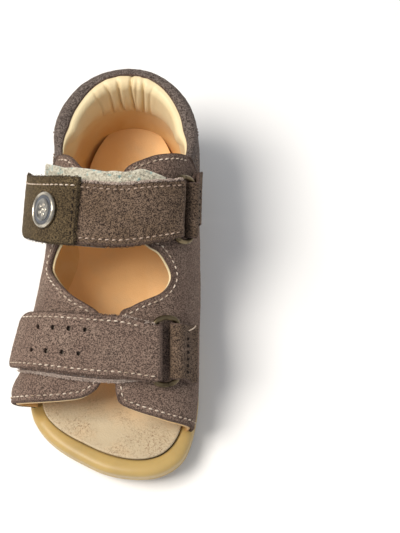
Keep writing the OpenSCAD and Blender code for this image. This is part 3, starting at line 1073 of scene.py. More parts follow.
def fibres(
    name: str, roots: Array, normals: Array, height: float, reach: float, thickness: float,
    material: Material, seed: int
) -> Piece:
    """Fine arched fibres, as on the face of loop tape.

    Args:
        name: the piece's name.
        roots: where each fibre springs from.
        normals: the face's normal at each root.
        height: the arch's height.
        reach: its span.
        thickness: the fibre's thickness.
        material: its material.
        seed: start of the random draw.

    Returns:
        One object with every fibre.
    """
    chance = np.random.default_rng(seed)
    spread = chance.normal(size=roots.shape)
    lean = unit(spread - (spread * normals).sum(1, keepdims=True) * normals)
    across = np.cross(normals, lean)
    s = np.linspace(0, 1, 5)
    shape = ring_faces(len(s), 3, capped=True)
    vertices, faces = [], []
    tall = height * chance.uniform(0.5, 1.2, len(roots))
    wide = reach * chance.uniform(0.6, 1.3, len(roots))
    curl = chance.normal(0, 0.35, len(roots))
    for k, root in enumerate(roots):
        line = (
            root + np.outer(s - 0.5, lean[k]) * wide[k] + np.outer(np.sin(s * math.pi), normals[k]) * tall[k]
            + np.outer(np.sin(s * math.pi) * curl[k] * wide[k], across[k]) - normals[k] * 0.1
        )
        base = len(vertices) * 3 * len(s)
        ring = [
            line + across[k] * thickness, line - across[k] * thickness / 2 + normals[k] * thickness,
            line - across[k] * thickness / 2 - normals[k] * thickness * 0.3
        ]
        vertices.append(np.stack(ring, 1).reshape(-1, 3))
        faces.extend([[i + base for i in f] for f in shape])
    return mesh_object(name, np.concatenate(vertices), faces, [material])


def lathe(
    name: str, profile: Sequence[tuple[float, float]], place: Matrix, material: Material, around: int = 72
) -> Piece:
    """Solid turned from a closed (radius, height) outline, set at a place in millimetres.

    Args:
        name: the piece's name.
        profile: the outline.
        place: where it stands, with Z along its axis.
        material: its material.
        around: sides of the turned solid.

    Returns:
        The object.
    """
    outline = np.asarray(profile, float)
    angle = np.arange(around) / around * 2 * math.pi
    points = np.stack(
        [
            outline[:, 0][None] * np.cos(angle)[:, None], outline[:, 0][None] * np.sin(angle)[:, None],
            np.broadcast_to(outline[:, 1], (around, len(outline)))
        ],
        -1
    ).reshape(-1, 3)
    m = len(outline)
    faces = []
    for k in range(around):
        j = (k + 1) % around
        for a in range(m - 1):
            faces.append([k * m + a, j * m + a, j * m + a + 1, k * m + a + 1])
    turn = np.array(place)
    return mesh_object(name, points @ turn[:3, :3].T + turn[:3, 3], faces, [material], sharp=35)


# --- Sole and footbed ---


@dataclass
class Sole:
    """Moulded outsole with its toe rim, the insole board, and the padded leather footbed."""

    form: UpperForm
    finishes: Finishes
    thickness: float = 7.0
    rim_height: float = 3.5
    board: float = 1.4
    foam: float = 2.6
    cover: float = 1.2
    rim_front: float = -57.0
    rim_fade: float = 8.0
    tread_pitch: float = 5.2
    tread_depth: float = 1.1
    sole_edge: float = 1.5
    steps: int = 440
    outline: tuple = (
        (9, -74.3), (-1, -73), (-10, -69.4), (-18.5, -65), (-25, -60), (-29.6, -54), (-32, -46), (-32, -36),
        (-29.5, -20), (-25, -3), (-23, 18), (-23.6, 40), (-21, 58), (-12.5, 70.5), (0.5, 74.4), (13.5, 70.5),
        (22, 58), (24, 40), (23.2, 18), (25.4, -3), (29.2, -20), (31.4, -36), (31.6, -48), (29.8, -60),
        (26, -68), (18.5, -73)
    )
    insole: tuple = (
        (7, -67.8), (-1.5, -66), (-8.5, -63.2), (-15, -60.2), (-20.6, -56.6), (-24.8, -52), (-26.8, -45),
        (-27, -36), (-23.6, -20), (-18, -3), (-15.2, 18), (-15, 38), (-12.8, 52), (-7.4, 62.4), (0.5, 65.6),
        (8.4, 62.4), (13.8, 52), (16, 38), (16.8, 18), (20, -3), (24.4, -20), (26.6, -36), (26.6, -48),
        (24.8, -58), (20.6, -64.4), (14.5, -67.4)
    )
    axis_x: tuple = ((-60, 2.5), (-40, 0), (0, 0.3), (60, 0.5))
    axis_reach: float = 52.0

    def _ring(self, control: tuple) -> Array:
        """Points of a closed outline, evenly spaced.

        Args:
            control: points of the outline.

        Returns:
            The ring.
        """
        rough = curve_points(control, np.linspace(0, 1, 2000, endpoint=False), closed=True)
        rough = np.concatenate([rough, rough[:1]])
        run = lengths(rough)
        return resample(rough, np.linspace(0, run[-1], self.steps, endpoint=False))

    def _axis(self, ring: Array) -> Array:
        """The point of the sole's long axis that each outline point is joined to."""
        y = self.axis_reach * np.tanh(ring[:, 1] / self.axis_reach)
        return np.stack([along(self.axis_x, y), y], -1)

    def _outward(self, ring: Array) -> Array:
        """Outward normals of a closed outline.

        Args:
            ring: the outline's points.

        Returns:
            One direction for each point.
        """
        ahead = np.roll(ring, -1, 0) - np.roll(ring, 1, 0)
        side = unit(np.stack([ahead[:, 1], -ahead[:, 0]], -1))
        return side * np.sign((side * (ring - ring.mean(0))).sum(1).mean())

    def _stack(self, name: str, rings: Sequence[Array], materials: Sequence, sharp: float = 40.0) -> Piece:
        """Closed solid through a list of rings of points, from the bottom's axis to the top's.

        Args:
            name: the piece's name.
            rings: the rings.
            materials: the materials.
            sharp: edges that bend by more than these degrees stay crisp.

        Returns:
            The object.
        """
        return mesh_object(
            name, np.concatenate(rings), ring_faces(len(rings), self.steps), materials, sharp=sharp
        )

    def _raised(self, flat: Array, z: Array) -> Array:
        """Points of a flat ring at heights above the curved ground line of the sole."""
        return np.stack([flat[:, 0], flat[:, 1], z + self.form.spring(flat[:, 1])], -1)

    def _tread(self, flat: Array, from_edge: Array) -> Array:
        """Height of the underside's pattern: wavy ribs across the sole inside a plain border."""
        wave = np.sin(2 * math.pi * (flat[:, 1] + 1.6 * np.sin(flat[:, 0] / 5.5)) / self.tread_pitch)
        return self.tread_depth * ease((wave - 0.25) / 0.3) * ease((from_edge - 3.5) / 0.8)

    def outsole(self) -> Piece:
        """The rubber outsole with its ribbed underside, moulded line and raised toe rim.

        Returns:
            The object.
        """
        ring = self._ring(self.outline)
        axis = self._axis(ring)
        out = self._outward(ring)
        inner_line = self._ring(self.insole) * [1.006, 1.005]
        nearest = np.linalg.norm(ring[:, None] - inner_line[None], axis=2).argmin(1)
        inner = inner_line[nearest]
        kernel = np.hanning(15) / np.hanning(15).sum()
        wrapped = np.concatenate([inner[-7:], inner, inner[:7]])
        inner = np.stack([np.convolve(column, kernel, "valid") for column in wrapped.T], -1)
        raised = ease((self.rim_front + self.rim_fade - ring[:, 1]) / self.rim_fade)
        top = self.thickness + self.rim_height * raised
        rings = []
        width = np.linalg.norm(ring - axis, axis=1)
        for share in np.linspace(1, 0, 36):
            flat = mix(ring - out * self.sole_edge, axis, share)
            rings.append(self._raised(flat, self._tread(flat, (1 - share) * width)))
        bend = mix(1.2, 3.4, raised)
        wall = [(0.75, 0.22), (0.22, 0.8), (0.0, 1.7), (0.0, 2.7), (0.32, 3.0), (0.0, 3.3)]
        for back, z in wall:
            rings.append(self._raised(ring - out * back, np.full(self.steps, z)))
        for angle in np.linspace(0, math.pi / 2, 8):
            back = bend * (1 - math.cos(angle))
            rings.append(self._raised(ring - out * back[:, None], top - bend * 0.8 * (1 - math.sin(angle))))
        start = ring - out * bend[:, None]
        for share, drop in ((0.35, 0.0), (0.7, 0.05), (0.9, 0.3), (1.0, 0.9), (1.0, 2.2)):
            rings.append(self._raised(mix(start, inner, share), top - drop * raised))
        rings.append(self._raised(mix(inner, axis, 0.5), top - 2.2 * raised))
        rings.append(self._raised(axis, top - 2.2 * raised))
        return self._stack("outsole_rubber", rings, [self.finishes.rubber])

    def pad(
        self, name: str, low: float, high: float, edge: float, material: Material, dish: float = 0.0,
        crown: float = 0.0, grow: float = 0.0
    ) -> Piece:
        """One layer of the insole.

        Args:
            name: the piece's name.
            low: height of its underside, before the toe's lift.
            high: height of its face.
            edge: radius of its upper edge.
            material: its material.
            dish: how far the heel and waist's borders rise into a cup.
            crown: depth of the face's soft unevenness.
            grow: how far it reaches past the insole's outline, behind the toes.

        Returns:
            The object.
        """
        ring = self._ring(self.insole)
        out = self._outward(ring)
        ring = ring + out * (0.07 * grow + grow * ease((ring[:, 1:] + 48) / 14))
        axis = self._axis(ring)
        width = np.linalg.norm(ring - axis, axis=1)
        rings = [
            self._raised(mix(axis, ring - out * 0.3, share), np.full(self.steps, low))
            for share in (0, 0.5, 1)
        ]
        for angle in np.linspace(0, math.pi / 2, 6):
            flat = ring - out * edge * (1 - math.cos(angle))
            rings.append(self._raised(flat, np.full(self.steps, high) - edge * (1 - math.sin(angle))))
        inner = ring - out * edge
        for share in np.linspace(0.02, 1, 34):
            flat = mix(inner, axis, share)
            away = share * width
            cup = dish * ease(1 - away / 14) * ease((flat[:, 1] + 46) / 26)
            z = high + cup
            if crown:
                spots = np.concatenate([flat, np.zeros((self.steps, 1))], 1)
                z = z + crown * (ripple(spots, 13.0, 2.2) * ease(away / 4) + 0.25 * ripple(spots, 3.0, 5.0))
            rings.append(self._raised(flat, z))
        lift = dish * ease((ring[:, 1] + 46) / 26)
        for k in range(3, 9):
            rings[k][:, 2] += lift * (k - 2) / 6
        return self._stack(name, rings, [material])

    def build(self) -> None:
        """Makes every layer and puts it on the frame."""
        board_top = self.thickness + self.board
        foam_top = board_top + self.foam
        f = self.finishes
        install(self.outsole(), "root", "sole_rubber", "outsole")
        install(
            self.pad("insole_fibre_board", self.thickness + 0.1, board_top, 0.3, f.board), "root",
            "insole_board", "insole_board"
        )
        foam = self.pad("footbed_latex", board_top + 0.1, foam_top, 0.8, f.foam)
        install(foam, "root", "footbed_foam", "footbed_foam")
        cover = self.pad(
            "footbed_leather", foam_top + 0.1, foam_top + self.cover, 0.7, f.footbed, dish=4.2, crown=0.2,
            grow=3.2
        )
        install(cover, "root", "footbed_leather", "footbed_cover")


def install(piece: Piece, body: str, slot: str | None = None, *nodes: str) -> Piece:
    """Rides a piece on a body and hides the CAD nodes that it stands for.

    Args:
        piece: the piece.
        body: the body that carries it.
        slot: not used.
        nodes: the CAD nodes that it replaces.

    Returns:
        The piece.
    """
    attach(piece, body)
    if nodes:
        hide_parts(*nodes)
    return piece


# --- Upper ---


@dataclass
class Upper:
    """Suede quarters and heel piece with their linings, padding and seams."""

    form: UpperForm
    finishes: Finishes
    suede: float = 1.5
    lining: float = 1.1
    gap: float = 0.2
    collar_padding: float = 3.4
    collar_height: float = 57.0
    collar_length: float = 100.0
    seam_inset: float = 2.1
    step: float = 1.0
    heel_seams: tuple[float, float] = (33.0, 35.0)
    gathers: tuple = (
        (-0.31, 0.4, 0.05), (-0.2, 1.0, 0.05), (-0.105, 1.25, 0.045), (0.01, 1.35, 0.01), (0.055, 0.4, 0.0),
        (0.115, 1.2, -0.01), (0.2, 0.35, -0.03)
    )
    fillet: dict = field(
        default_factory=lambda: {
            Side.MEDIAL: ((-40, 0), (-20, 1.2), (10, 1.6), (30, 0)),
            Side.LATERAL: ((-42, 0), (-26, 1.6), (-8, 4.4), (10, 5.2), (22, 2.6), (32, 0))
        }
    )
    low: dict = field(
        default_factory=lambda: {
            Side.MEDIAL: (
                34.8, 32, 28, 22, 13, 5, 0, -4, -8, -12, -17, -23, -33, -42, -46.5, -50, -52, -53.6, -54.8,
                -55.6, -56
            ),
            Side.LATERAL: (
                32.8, 30, 26, 20, 12, 5, 1, -4, -8, -15, -22, -29, -36, -42, -45, -46.8, -48, -48.7, -49,
                -49.2
            )
        }
    )
    high: dict = field(
        default_factory=lambda: {
            Side.MEDIAL: (
                (34.8, 0.47), (32, 0.61), (28.6, 0.79), (24, 0.955), (14, 0.965), (5, 0.93), (-0.4, 0.76),
                (-2, 0.67), (-6.5, 0.585), (-10.1, 0.582), (-15.2, 0.66), (-20.6, 0.85), (-25, 0.955),
                (-44, 0.985), (-49, 0.988), (-52.1, 0.965), (-54, 0.86), (-55.4, 0.72), (-56.4, 0.55),
                (-56.4, 0.3), (-56.1, 0.12)
            ),
            Side.LATERAL: (
                (32.8, 0.487), (30, 0.6), (26, 0.69), (20, 0.8), (11, 0.8), (5, 0.68), (0.9, 0.54),
                (-3.8, 0.474), (-7.9, 0.508), (-17.2, 0.71), (-23.1, 0.905), (-27, 0.93), (-43.3, 0.93),
                (-46.2, 0.918), (-48.6, 0.88), (-50.8, 0.8), (-52.2, 0.62), (-52.3, 0.46), (-50.9, 0.26),
                (-49.7, 0.1)
            )
        }
    )

    def side_surface(self, side: Side) -> Surface:
        """The wall of one side, over (station, v) parameters."""
        return lambda p, off: self.form.wall(side.value, p[..., 0], p[..., 1], off)

    def side_grid(self, side: Side, reach: float, rim: float) -> Array:
        """Even grid of (station, v) over a side panel.

        Args:
            side: which panel.
            reach: share of the high edge's v that the panel goes up to.
            rim: half the panel's thickness, which its edges are rounded by.

        Returns:
            An array of rows along the foot and columns up the wall.
        """
        surface = self.side_surface(side)
        t = np.linspace(0, 1, 1500)
        foot = np.array([(a, 0.0) for a in self.low[side]])
        low, high = curve_points(foot, t), curve_points(self.high[side], t) * [1, reach]
        flat = np.zeros(len(t))
        run = (lengths(surface(low, flat)) + lengths(surface(high, flat))) / 2
        t_even = np.interp(spaced(run[-1], self.step, rim) * run[-1], run, t)
        low = curve_points(foot, t_even)[:, None]
        high = (curve_points(self.high[side], t_even) * [1, reach])[:, None]
        climb = np.linspace(0, 1, 40)[None, :, None]
        columns = surface(mix(low, high, climb), np.zeros((len(t_even), 40)))
        height = np.linalg.norm(np.diff(columns, axis=1), axis=2).sum(1).max()
        return mix(low, high, spaced(height, self.step, rim)[None, :, None])

    def edge_row(self, side: Side) -> SeamRow:
        """The seam that follows a side panel's upper and front edge.

        Args:
            side: which panel.

        Returns:
            The row.
        """
        surface = self.side_surface(side)
        edge = curve_points(self.high[side], np.linspace(0.0, 0.985, 700))
        path = inset_path(surface, edge, self.seam_inset, (-30.0 if side is Side.MEDIAL else -28.0, 0.45))
        return SeamRow.on(surface, path[path[:, 1] > 0.13], 0.0)

    def side(self, side: Side) -> None:
        """One side's suede quarter, its lining and its edge seam.

        Args:
            side: which side.
        """
        name = side.name.lower()
        surface = self.side_surface(side)
        row = self.edge_row(side)
        grid = self.side_grid(side, 1.0, self.suede / 2)
        quarter = leather_sheet(
            f"{name}_quarter_suede", lambda off: surface(grid, off - self.suede / 2), grid.shape[:2],
            self.suede, [self.finishes.suede, self.finishes.edge], rows=[row]
        )
        install(quarter, "root", "suede", f"{name}_quarter")
        seam = Stitching().sew(f"{name}_quarter_stitches", [row], self.finishes.thread)
        install(seam, "root")
        inner = self.side_grid(side, 0.985, self.lining / 2)
        depth = self.suede + self.gap + self.lining / 2
        height = surface(inner, np.full(inner.shape[:2], -depth))[..., 2]
        fillet = along(self.fillet[side], inner[..., 0]) * ease((21 - height) / 9)
        lining = leather_sheet(
            f"{name}_lining_leather", lambda off: surface(inner, -off - depth - fillet), inner.shape[:2],
            self.lining, [self.finishes.lining], texture=LINING_FACE
        )
        install(lining, "root", "lining_leather", f"{name}_lining")

    def heel_turn(self, t: Array) -> tuple[Array, Array]:
        """Side sign and station at t, which runs from -1 (lateral seam) by the back to 1.

        Args:
            t: places round the heel, from -1 to 1.

        Returns:
            Signs of X and stations.
        """
        half = self.form.heel_centre_y + self.form.heel_turn_radius * math.pi / 2
        seam = np.where(t < 0, self.heel_seams[0], self.heel_seams[1])
        return np.where(t < 0, -1.0, 1.0), half - np.abs(t) * (half - seam)

    def heel_point(self, t: Array, z: Array, off: Array) -> Array:
        """Point of the heel's wall at t and height z, moved out by off."""
        side, station = self.heel_turn(t)
        return self.form.wall(side, station, self.form.v_at(side, station, z), off)

    def padding(self, t: Array, z: Array) -> Array:
        """Depth of the padded space between the heel's suede and its lining."""
        return ease((1 - np.abs(t)) / 0.3) * mix(1.3, self.collar_padding, ease((z - 20) / 22))

    def roll(self, t: Array) -> Array:
        """How far the suede goes over the collar's top, as a share of a half turn."""
        return 0.6 + 0.2 * ease((np.abs(t) - 0.12) / 0.4)

    def collar_width(self, t: Array) -> Array:
        """Whole thickness of the collar at its top."""
        return self.suede + 2 * self.gap + self.padding(t, np.full_like(t, self.collar_height)) + self.lining

    def heel_grid(self, rows: Array) -> tuple[Array, Array]:
        """Grid of t and of a second parameter over the heel.

        Args:
            rows: values of the second parameter.

        Returns:
            Both grids.
        """
        t = mix(-1.0, 1.0, spaced(self.collar_length, self.step, self.suede / 2))
        return np.meshgrid(t, rows, indexing="ij")

    def collar_profile(self, t: Array, s: Array, off: Array) -> Array:
        """Middle of the heel's suede: up the wall (s to 1), then over the roll's top (to 2).

        Args:
            t: places round the heel, from -1 to 1.
            s: places up the piece.
            off: distances out from the face.

        Returns:
            The points.
        """
        width = self.collar_width(t)
        turn_z = self.collar_height - width / 2
        arc = np.clip(s - 1, 0, 1) * math.pi * self.roll(t)
        radius = width / 2 - self.suede / 2 + off
        z = mix(self.form.feather_height, turn_z, np.clip(s, 0, 1)) + radius * np.sin(arc)
        return self.heel_point(t, z, -width / 2 + radius * np.cos(arc))

    def pad_bottom(self, t: Array) -> Array:
        """Height of the seam under the collar's padding: low at the back, rising to the ears."""
        return mix(31.5, 50.5, np.clip(np.abs(t) / 0.86, 0, 1) ** 1.8)

    def pad_face(self, t: Array, s: Array, off: Array) -> Array:
        """Middle of the padded collar lining, from its lower seam (s 0) up to the suede's edge (s 1).

        Args:
            t: places round the heel, from -1 to 1.
            s: places up the piece.
            off: distances in towards the foam.

        Returns:
            The points.
        """
        width = self.collar_width(t)
        turn_z = self.collar_height - width / 2
        rise = np.clip(s / 0.6, 0, 1)
        arc = mix(math.pi, (self.roll(t) - 0.09) * math.pi, np.clip((s - 0.6) / 0.4, 0, 1))
        low = mix(np.minimum(self.pad_bottom(t), turn_z - 1.0), turn_z, rise)
        size = ease((1 - np.abs(t)) / 0.35)
        swell = 2.5 * size * np.sin(math.pi * np.clip(s / 0.86, 0, 1) ** 0.75) ** 0.65
        folds = np.zeros_like(t)
        for middle, depth, lean in self.gathers:
            line = t - middle - lean * (0.7 - s) - 0.006 * np.sin(7 * s + 40 * middle)
            reach = ease((0.94 - s) / 0.3) if depth < 1.3 else 1.0
            folds = folds + depth * np.exp(-((line / 0.013) ** 2)) * ease(s * 4) * reach
            folds = folds - 0.3 * depth * np.exp(-(((line - 0.035) / 0.028) ** 2)) * ease(s * 3)
        fine = 0.14 * np.sin(t * 110 + 3 * s) * np.exp(-(((t - 0.05) / 0.09) ** 2)) * ease((s - 0.45) / 0.3)
        tuck = 1.1 * ease((s - 0.86) / 0.14)
        base = self.suede + 2 * self.gap + self.lining / 2
        deep = np.where(s < 0.6, base + self.padding(t, low), width - self.lining / 2)
        radius = deep - width / 2 + swell - folds * size - fine * size - tuck - off
        return self.heel_point(t, low + radius * np.sin(arc), -width / 2 + radius * np.cos(arc))

    def heel(self) -> None:
        """The heel's suede with its rolled collar, padding, linings and stiffener."""
        f = self.finishes
        wall = spaced(47.0, self.step, self.suede / 2, end=False)
        roll = 1 + spaced(4.2, 0.4, self.suede / 2, start=False)[1:]
        t, s = self.heel_grid(np.concatenate([wall, roll]))
        rows = [
            SeamRow.on(
                lambda p, off, k=k: self.heel_point(p[:, 0], p[:, 1], off),
                np.stack([np.full(160, k), np.linspace(10, 52.5, 160)], -1), 0.0
            )
            for k in (-0.965, -0.935, 0.935, 0.965)
        ]
        pad_row = np.linspace(-0.8, 0.8, 400)
        rows.append(
            SeamRow.on(
                lambda p, off: self.heel_point(p[:, 0], p[:, 1], off),
                np.stack([pad_row, self.pad_bottom(pad_row) + 6], -1), 0.0
            )
        )
        quarter = leather_sheet(
            "heel_suede", lambda off: self.collar_profile(t, s, off), t.shape, self.suede,
            [f.grey_suede, f.edge], rows=rows
        )
        install(quarter, "root", "suede", "heel_quarter")
        install(Stitching().sew("heel_stitches", rows, f.dull_thread), "root")
        t, s = np.meshgrid(np.linspace(-0.97, 0.97, 340), spaced(30.0, 0.7, self.lining / 2), indexing="ij")
        pad = leather_sheet(
            "collar_pad_leather", lambda off: self.pad_face(t, s, -off), t.shape, self.lining, [f.lining],
            texture=LINING_FACE
        )
        install(pad, "root", "lining_leather")
        t, z = self.heel_grid(spaced(44.0, self.step, self.lining / 2))
        top = np.minimum(self.pad_bottom(t) + 1.2, self.collar_height - 3)
        z = mix(self.form.feather_height + 1.0, top, z)
        spare = 0.9 * ease((1 - np.abs(t)) / 0.3)
        deep = self.suede + 2 * self.gap + self.lining / 2 + self.padding(t, z) + spare
        lower = leather_sheet(
            "heel_lining_leather", lambda off: self.heel_point(t, z, -off - deep), t.shape, self.lining,
            [f.lining], texture=LINING_FACE
        )
        install(lower, "root", "lining_leather", "heel_lining")
        t, s = np.meshgrid(np.linspace(-0.8, 0.8, 90), np.linspace(0, 1, 16), indexing="ij")
        foam = leather_sheet(
            "collar_foam_pad", lambda off: self.foam_point(t, s, off), t.shape, 2.4, [f.foam],
            texture=LINING_FACE
        )
        install(foam, "root", "collar_foam", "collar_foam")
        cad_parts["heel_counter"].data.materials.clear()
        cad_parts["heel_counter"].data.materials.append(f.counter)

    def foam_point(self, t: Array, s: Array, off: Array) -> Array:
        """Middle of the collar's foam strip, which is as thick as the space allows.

        Args:
            t: places round the heel, from -1 to 1.
            s: places up the piece.
            off: distances out from the face.

        Returns:
            The points.
        """
        z = mix(self.pad_bottom(t) + 2, self.collar_height - self.collar_width(t) / 2 - 0.5, s)
        room = self.padding(t, z)
        return self.heel_point(t, z, -self.suede - self.gap - room / 2 + off * room / 3.6)

    def build(self) -> None:
        """Makes the whole upper and puts it on the frame."""
        self.side(Side.LATERAL)
        self.side(Side.MEDIAL)
        self.heel()


# --- Straps, rings and badge ---


@dataclass(frozen=True)
class Layers:
    """Thickness of the strap's layers and how far each stands off the upper."""

    strap: float = 1.6
    tape: float = 0.9
    gap: float = 0.2
    under: float = 0.3
    width: float = 20.4
    tab: float = 1.4
    ring_length: float = 28.0
    ring_width: float = 11.0
    wire: float = 2.2

    @property
    def loop(self) -> float:
        """Underside of the loop tape."""
        return self.under + self.strap + self.gap

    @property
    def hook(self) -> float:
        """Underside of the hook tape."""
        return self.loop + self.tape + 0.4

    @property
    def upper(self) -> float:
        """Underside of the strap's upper run."""
        return self.hook + self.tape + self.gap

    @property
    def bar(self) -> float:
        """Middle of the ring's outer bar."""
        return (self.under + self.upper + self.strap) / 2

    @property
    def fold(self) -> float:
        """Inner radius of the fold round the bar."""
        return (self.upper - self.under - self.strap) / 2

    @property
    def pitch(self) -> float:
        """Distance between the ring's two bars."""
        return self.ring_width - self.wire


@dataclass(frozen=True)
class Strap:
    """Suede strap that runs over the foot, through a wire ring and back on itself.

    u runs along the strap, from -1 at the lateral sole by 0 at the ridge to 1 at the medial
    sole, and w across it, from its front edge (0) to its back edge (1). The strap is ring_u to
    end_u long; its lower run lies base_shift further back, and its free end lifts by end_lift.
    """

    label: str
    form: UpperForm
    finishes: Finishes
    face: Material
    ring_u: float
    end_u: float
    ridge_y: float
    lateral_sweep: float
    medial_sweep: float
    base_shift: float
    span: float
    slant: float
    tab_low_width: float
    tab_end_u: float
    tab_sweep: float
    hook_end_u: float
    row_starts: tuple[float, float]
    tape_span: tuple[float, float]
    lay: Layers = Layers()
    step: float = 0.8
    corner: float = 4.0
    shift_reach: float = 0.45
    worn_bow: float = 0.75
    tab_bend: float = 0.3
    pale_fibres: int = 60
    pale_reach: float = 0.2
    loose_end: float = 0.0
    bow: tuple[float, float] = (0.0, 0.0)
    thread: Material | None = None
    end_lift: float = 0.0
    base_end_u: float = -0.62
    loop_end_u: float = -0.6
    seam_inset: float = 1.9

    def centre_y(self, u: Array, shift: float) -> Array:
        """Y of the strap's middle line at u; shift 1 gives the under run.

        Args:
            u: places along the strap.
            shift: 1 for the under run's sideways shift, 0 for none.

        Returns:
            One Y for each place.
        """
        sweep = np.where(u < 0, self.lateral_sweep, self.medial_sweep)
        bend = np.where(u < 0, self.bow[0] * np.abs(u) - self.bow[1], 0.0)
        back = shift * self.base_shift * ease((self.ring_u - u) / self.shift_reach)
        return self.ridge_y + (sweep + bend) * u**2 + back

    def point(self, u: Array, w: Array, off: Array, shift: float = 0.0) -> Array:
        """Point of the strap over the upper, at off from it.

        Args:
            u: places along the strap.
            w: places across the strap.
            off: distances out from the face.
            shift: 1 for the under run's sideways shift, 0 for none.

        Returns:
            The points.
        """
        side = np.where(np.asarray(u) < 0, -1.0, 1.0)
        off = off + np.where(np.asarray(off) > 3.5, self.end_lift, 0.0) * ease((-0.4 - u) / 0.3)
        return self.form.wall(side, self.centre_y(u, shift) + (w - 0.5) * self.span, 1 - np.abs(u), off)

    def at(self, u: float, w: float, off: float) -> Array:
        """One such point, as three numbers."""
        return self.point(np.array([u]), np.array([w]), np.array([off]))[0]

    @cached_property
    def u_per_mm(self) -> float:
        """Change of u that moves a point 1 mm down the medial side, next to the ring."""
        ahead = self.at(self.ring_u + 0.1, 0.5, self.lay.bar)
        return 0.1 / float(np.linalg.norm(ahead - self.at(self.ring_u, 0.5, self.lay.bar)))

    @cached_property
    def axes(self) -> tuple[Array, Array, Array, Array]:
        """Middle of the ring's outer bar, then along it, towards the tab's bar, and outwards.

        Returns:
            The point and the three directions.
        """
        p, q = self.at(self.ring_u, 0.0, self.lay.bar), self.at(self.ring_u, 1.0, self.lay.bar)
        middle = (p + q) / 2
        bar = unit(q - p)
        chord = self.at(self.ring_u + self.lay.pitch * self.u_per_mm, 0.5, self.lay.bar) - middle
        inward = unit(chord - (chord @ bar) * bar)
        return middle, bar, inward, np.cross(inward, bar)

    @property
    def stop_u(self) -> float:
        """Where the under run ends, short of the fold."""
        return self.ring_u - (self.lay.fold + self.lay.strap + 0.9) * self.u_per_mm

    def round_bar(self, shift: float, w: Array, width: Array, r: Array, angle: Array) -> Array:
        """Point round a bar; angle 0 faces outwards and a quarter turn faces the tab's bar."""
        middle, bar, inward, out = self.axes
        return (
            middle + bar * ((w - 0.5) * width)[..., None] + inward * (shift + r * np.sin(angle))[..., None]
            + out * (r * np.cos(angle))[..., None]
        )

    def layer(self, u: Array, w: Array, off: Array, shift: float) -> Array:
        """Point of a strap layer, which is pulled straight where it nears the bar.

        Args:
            u: places along the strap.
            w: places across the strap.
            off: distances out from the face.
            shift: 1 for the under run's sideways shift, 0 for none.

        Returns:
            The points.
        """
        u, w, off = np.broadcast_arrays(u, w, off)
        near = 1 - ease((self.ring_u - u) / 0.25)
        start = self.round_bar(0.0, w, np.float64(self.lay.width), off - self.lay.bar, np.zeros_like(off))
        surface = self.point(np.full_like(u, self.ring_u), w, off, shift)
        return self.point(u, w, off, shift) + (start - surface) * near[..., None]

    def end_at(self, w: Array, slant: float) -> Array:
        """u of the free end's outline at w, with its corners rounded off.

        Args:
            w: places across the strap.
            slant: how much further u goes from the front edge to the back one.

        Returns:
            One u for each place.
        """
        edge = np.minimum(w, 1 - w) * self.lay.width
        cut = np.clip((self.corner - edge) / self.corner, 0, 1)
        return self.end_u + 0.1 * (1 - np.sqrt(1 - cut**2)) + slant * w

    def across(self, rim: float) -> Array:
        """Fractions across the strap, closer at its edges."""
        return spaced(self.lay.width, self.step, rim)

    def run_length(self, u_from: float, u_to: float, off: float) -> float:
        """Length along the strap's middle between two values of u."""
        u = np.linspace(u_from, u_to, 60)
        return float(lengths(self.point(u, np.full(60, 0.5), np.full(60, off)))[-1])

    def strip(
        self, name: str, u_from: float, u_to: float, middle: float, thickness: float, shift: float,
        materials: Sequence, rounded: Sequence[Edge] = ALL_EDGES, texture: Texture = SUEDE_FACE,
        bulge: float = 0.0, limits: tuple[float, float] = (0.0, 1.0)
    ) -> Piece:
        """Plain layer of the strap between two values of u.

        Args:
            name: the piece's name.
            u_from: its end next to the ring.
            u_to: its other end.
            middle: distance of its middle from the upper.
            thickness: its thickness.
            shift: 1 for the under run's sideways shift, 0 for none.
            materials: face and edge materials.
            rounded: the edges that are cut and rounded.
            texture: the face's roughness.
            bulge: amount by which a ragged long edge wanders, as a share of the width.
            limits: the layer's front and back edges, as shares of the strap's width.

        Returns:
            The object.
        """
        rim = thickness / 2
        length = self.run_length(u_from, u_to, middle)
        t = spaced(length, self.step, rim, start=Edge.START in rounded, end=Edge.END in rounded)
        u, w = np.meshgrid(mix(u_from, u_to, t), mix(*limits, self.across(rim)), indexing="ij")
        if bulge:
            w = w + bulge * ripple(np.stack([u * 60, w * 0, w * 0], -1), 5.0, 1.3)
        return leather_sheet(
            name, lambda off: self.layer(u, w, middle + off, shift), u.shape, thickness, materials, rounded,
            texture
        )

    def flap_rows(self) -> list[SeamRow]:
        """The two long seams of the upper run.

        Returns:
            The front row and the back row.
        """
        share = self.seam_inset / self.lay.width
        rows = []
        for w, begin in zip((share, 1 - share), self.row_starts):
            stop = float(self.end_at(np.array([0.5]), 0)[0]) + self.slant * w + 2.4 * self.u_per_mm
            path = np.stack([np.linspace(self.ring_u - begin, stop, 300), np.full(300, w)], -1)
            rows.append(
                SeamRow.on(
                    lambda p, off: self.layer(p[:, 0], p[:, 1], off, 0.0), path,
                    self.lay.upper + self.lay.strap
                )
            )
        return rows

    def flap(self) -> Piece:
        """The strap's upper run, from the top of the fold to its free end.

        Returns:
            The object.
        """
        rim = self.lay.strap / 2
        w = self.across(rim)
        length = self.run_length(self.ring_u, self.end_u, self.lay.upper)
        t = spaced(length, self.step, rim, start=False)
        u = mix(self.ring_u, self.end_at(w, self.slant)[None], t[:, None])
        w = np.broadcast_to(w, u.shape)
        middle = self.lay.upper + rim
        return leather_sheet(
            f"{self.label}_flap_suede", lambda off: self.layer(u, w, middle + off, 0.0), u.shape,
            self.lay.strap, [self.face, self.finishes.edge], (Edge.END, Edge.LOW, Edge.HIGH),
            rows=self.flap_rows()
        )

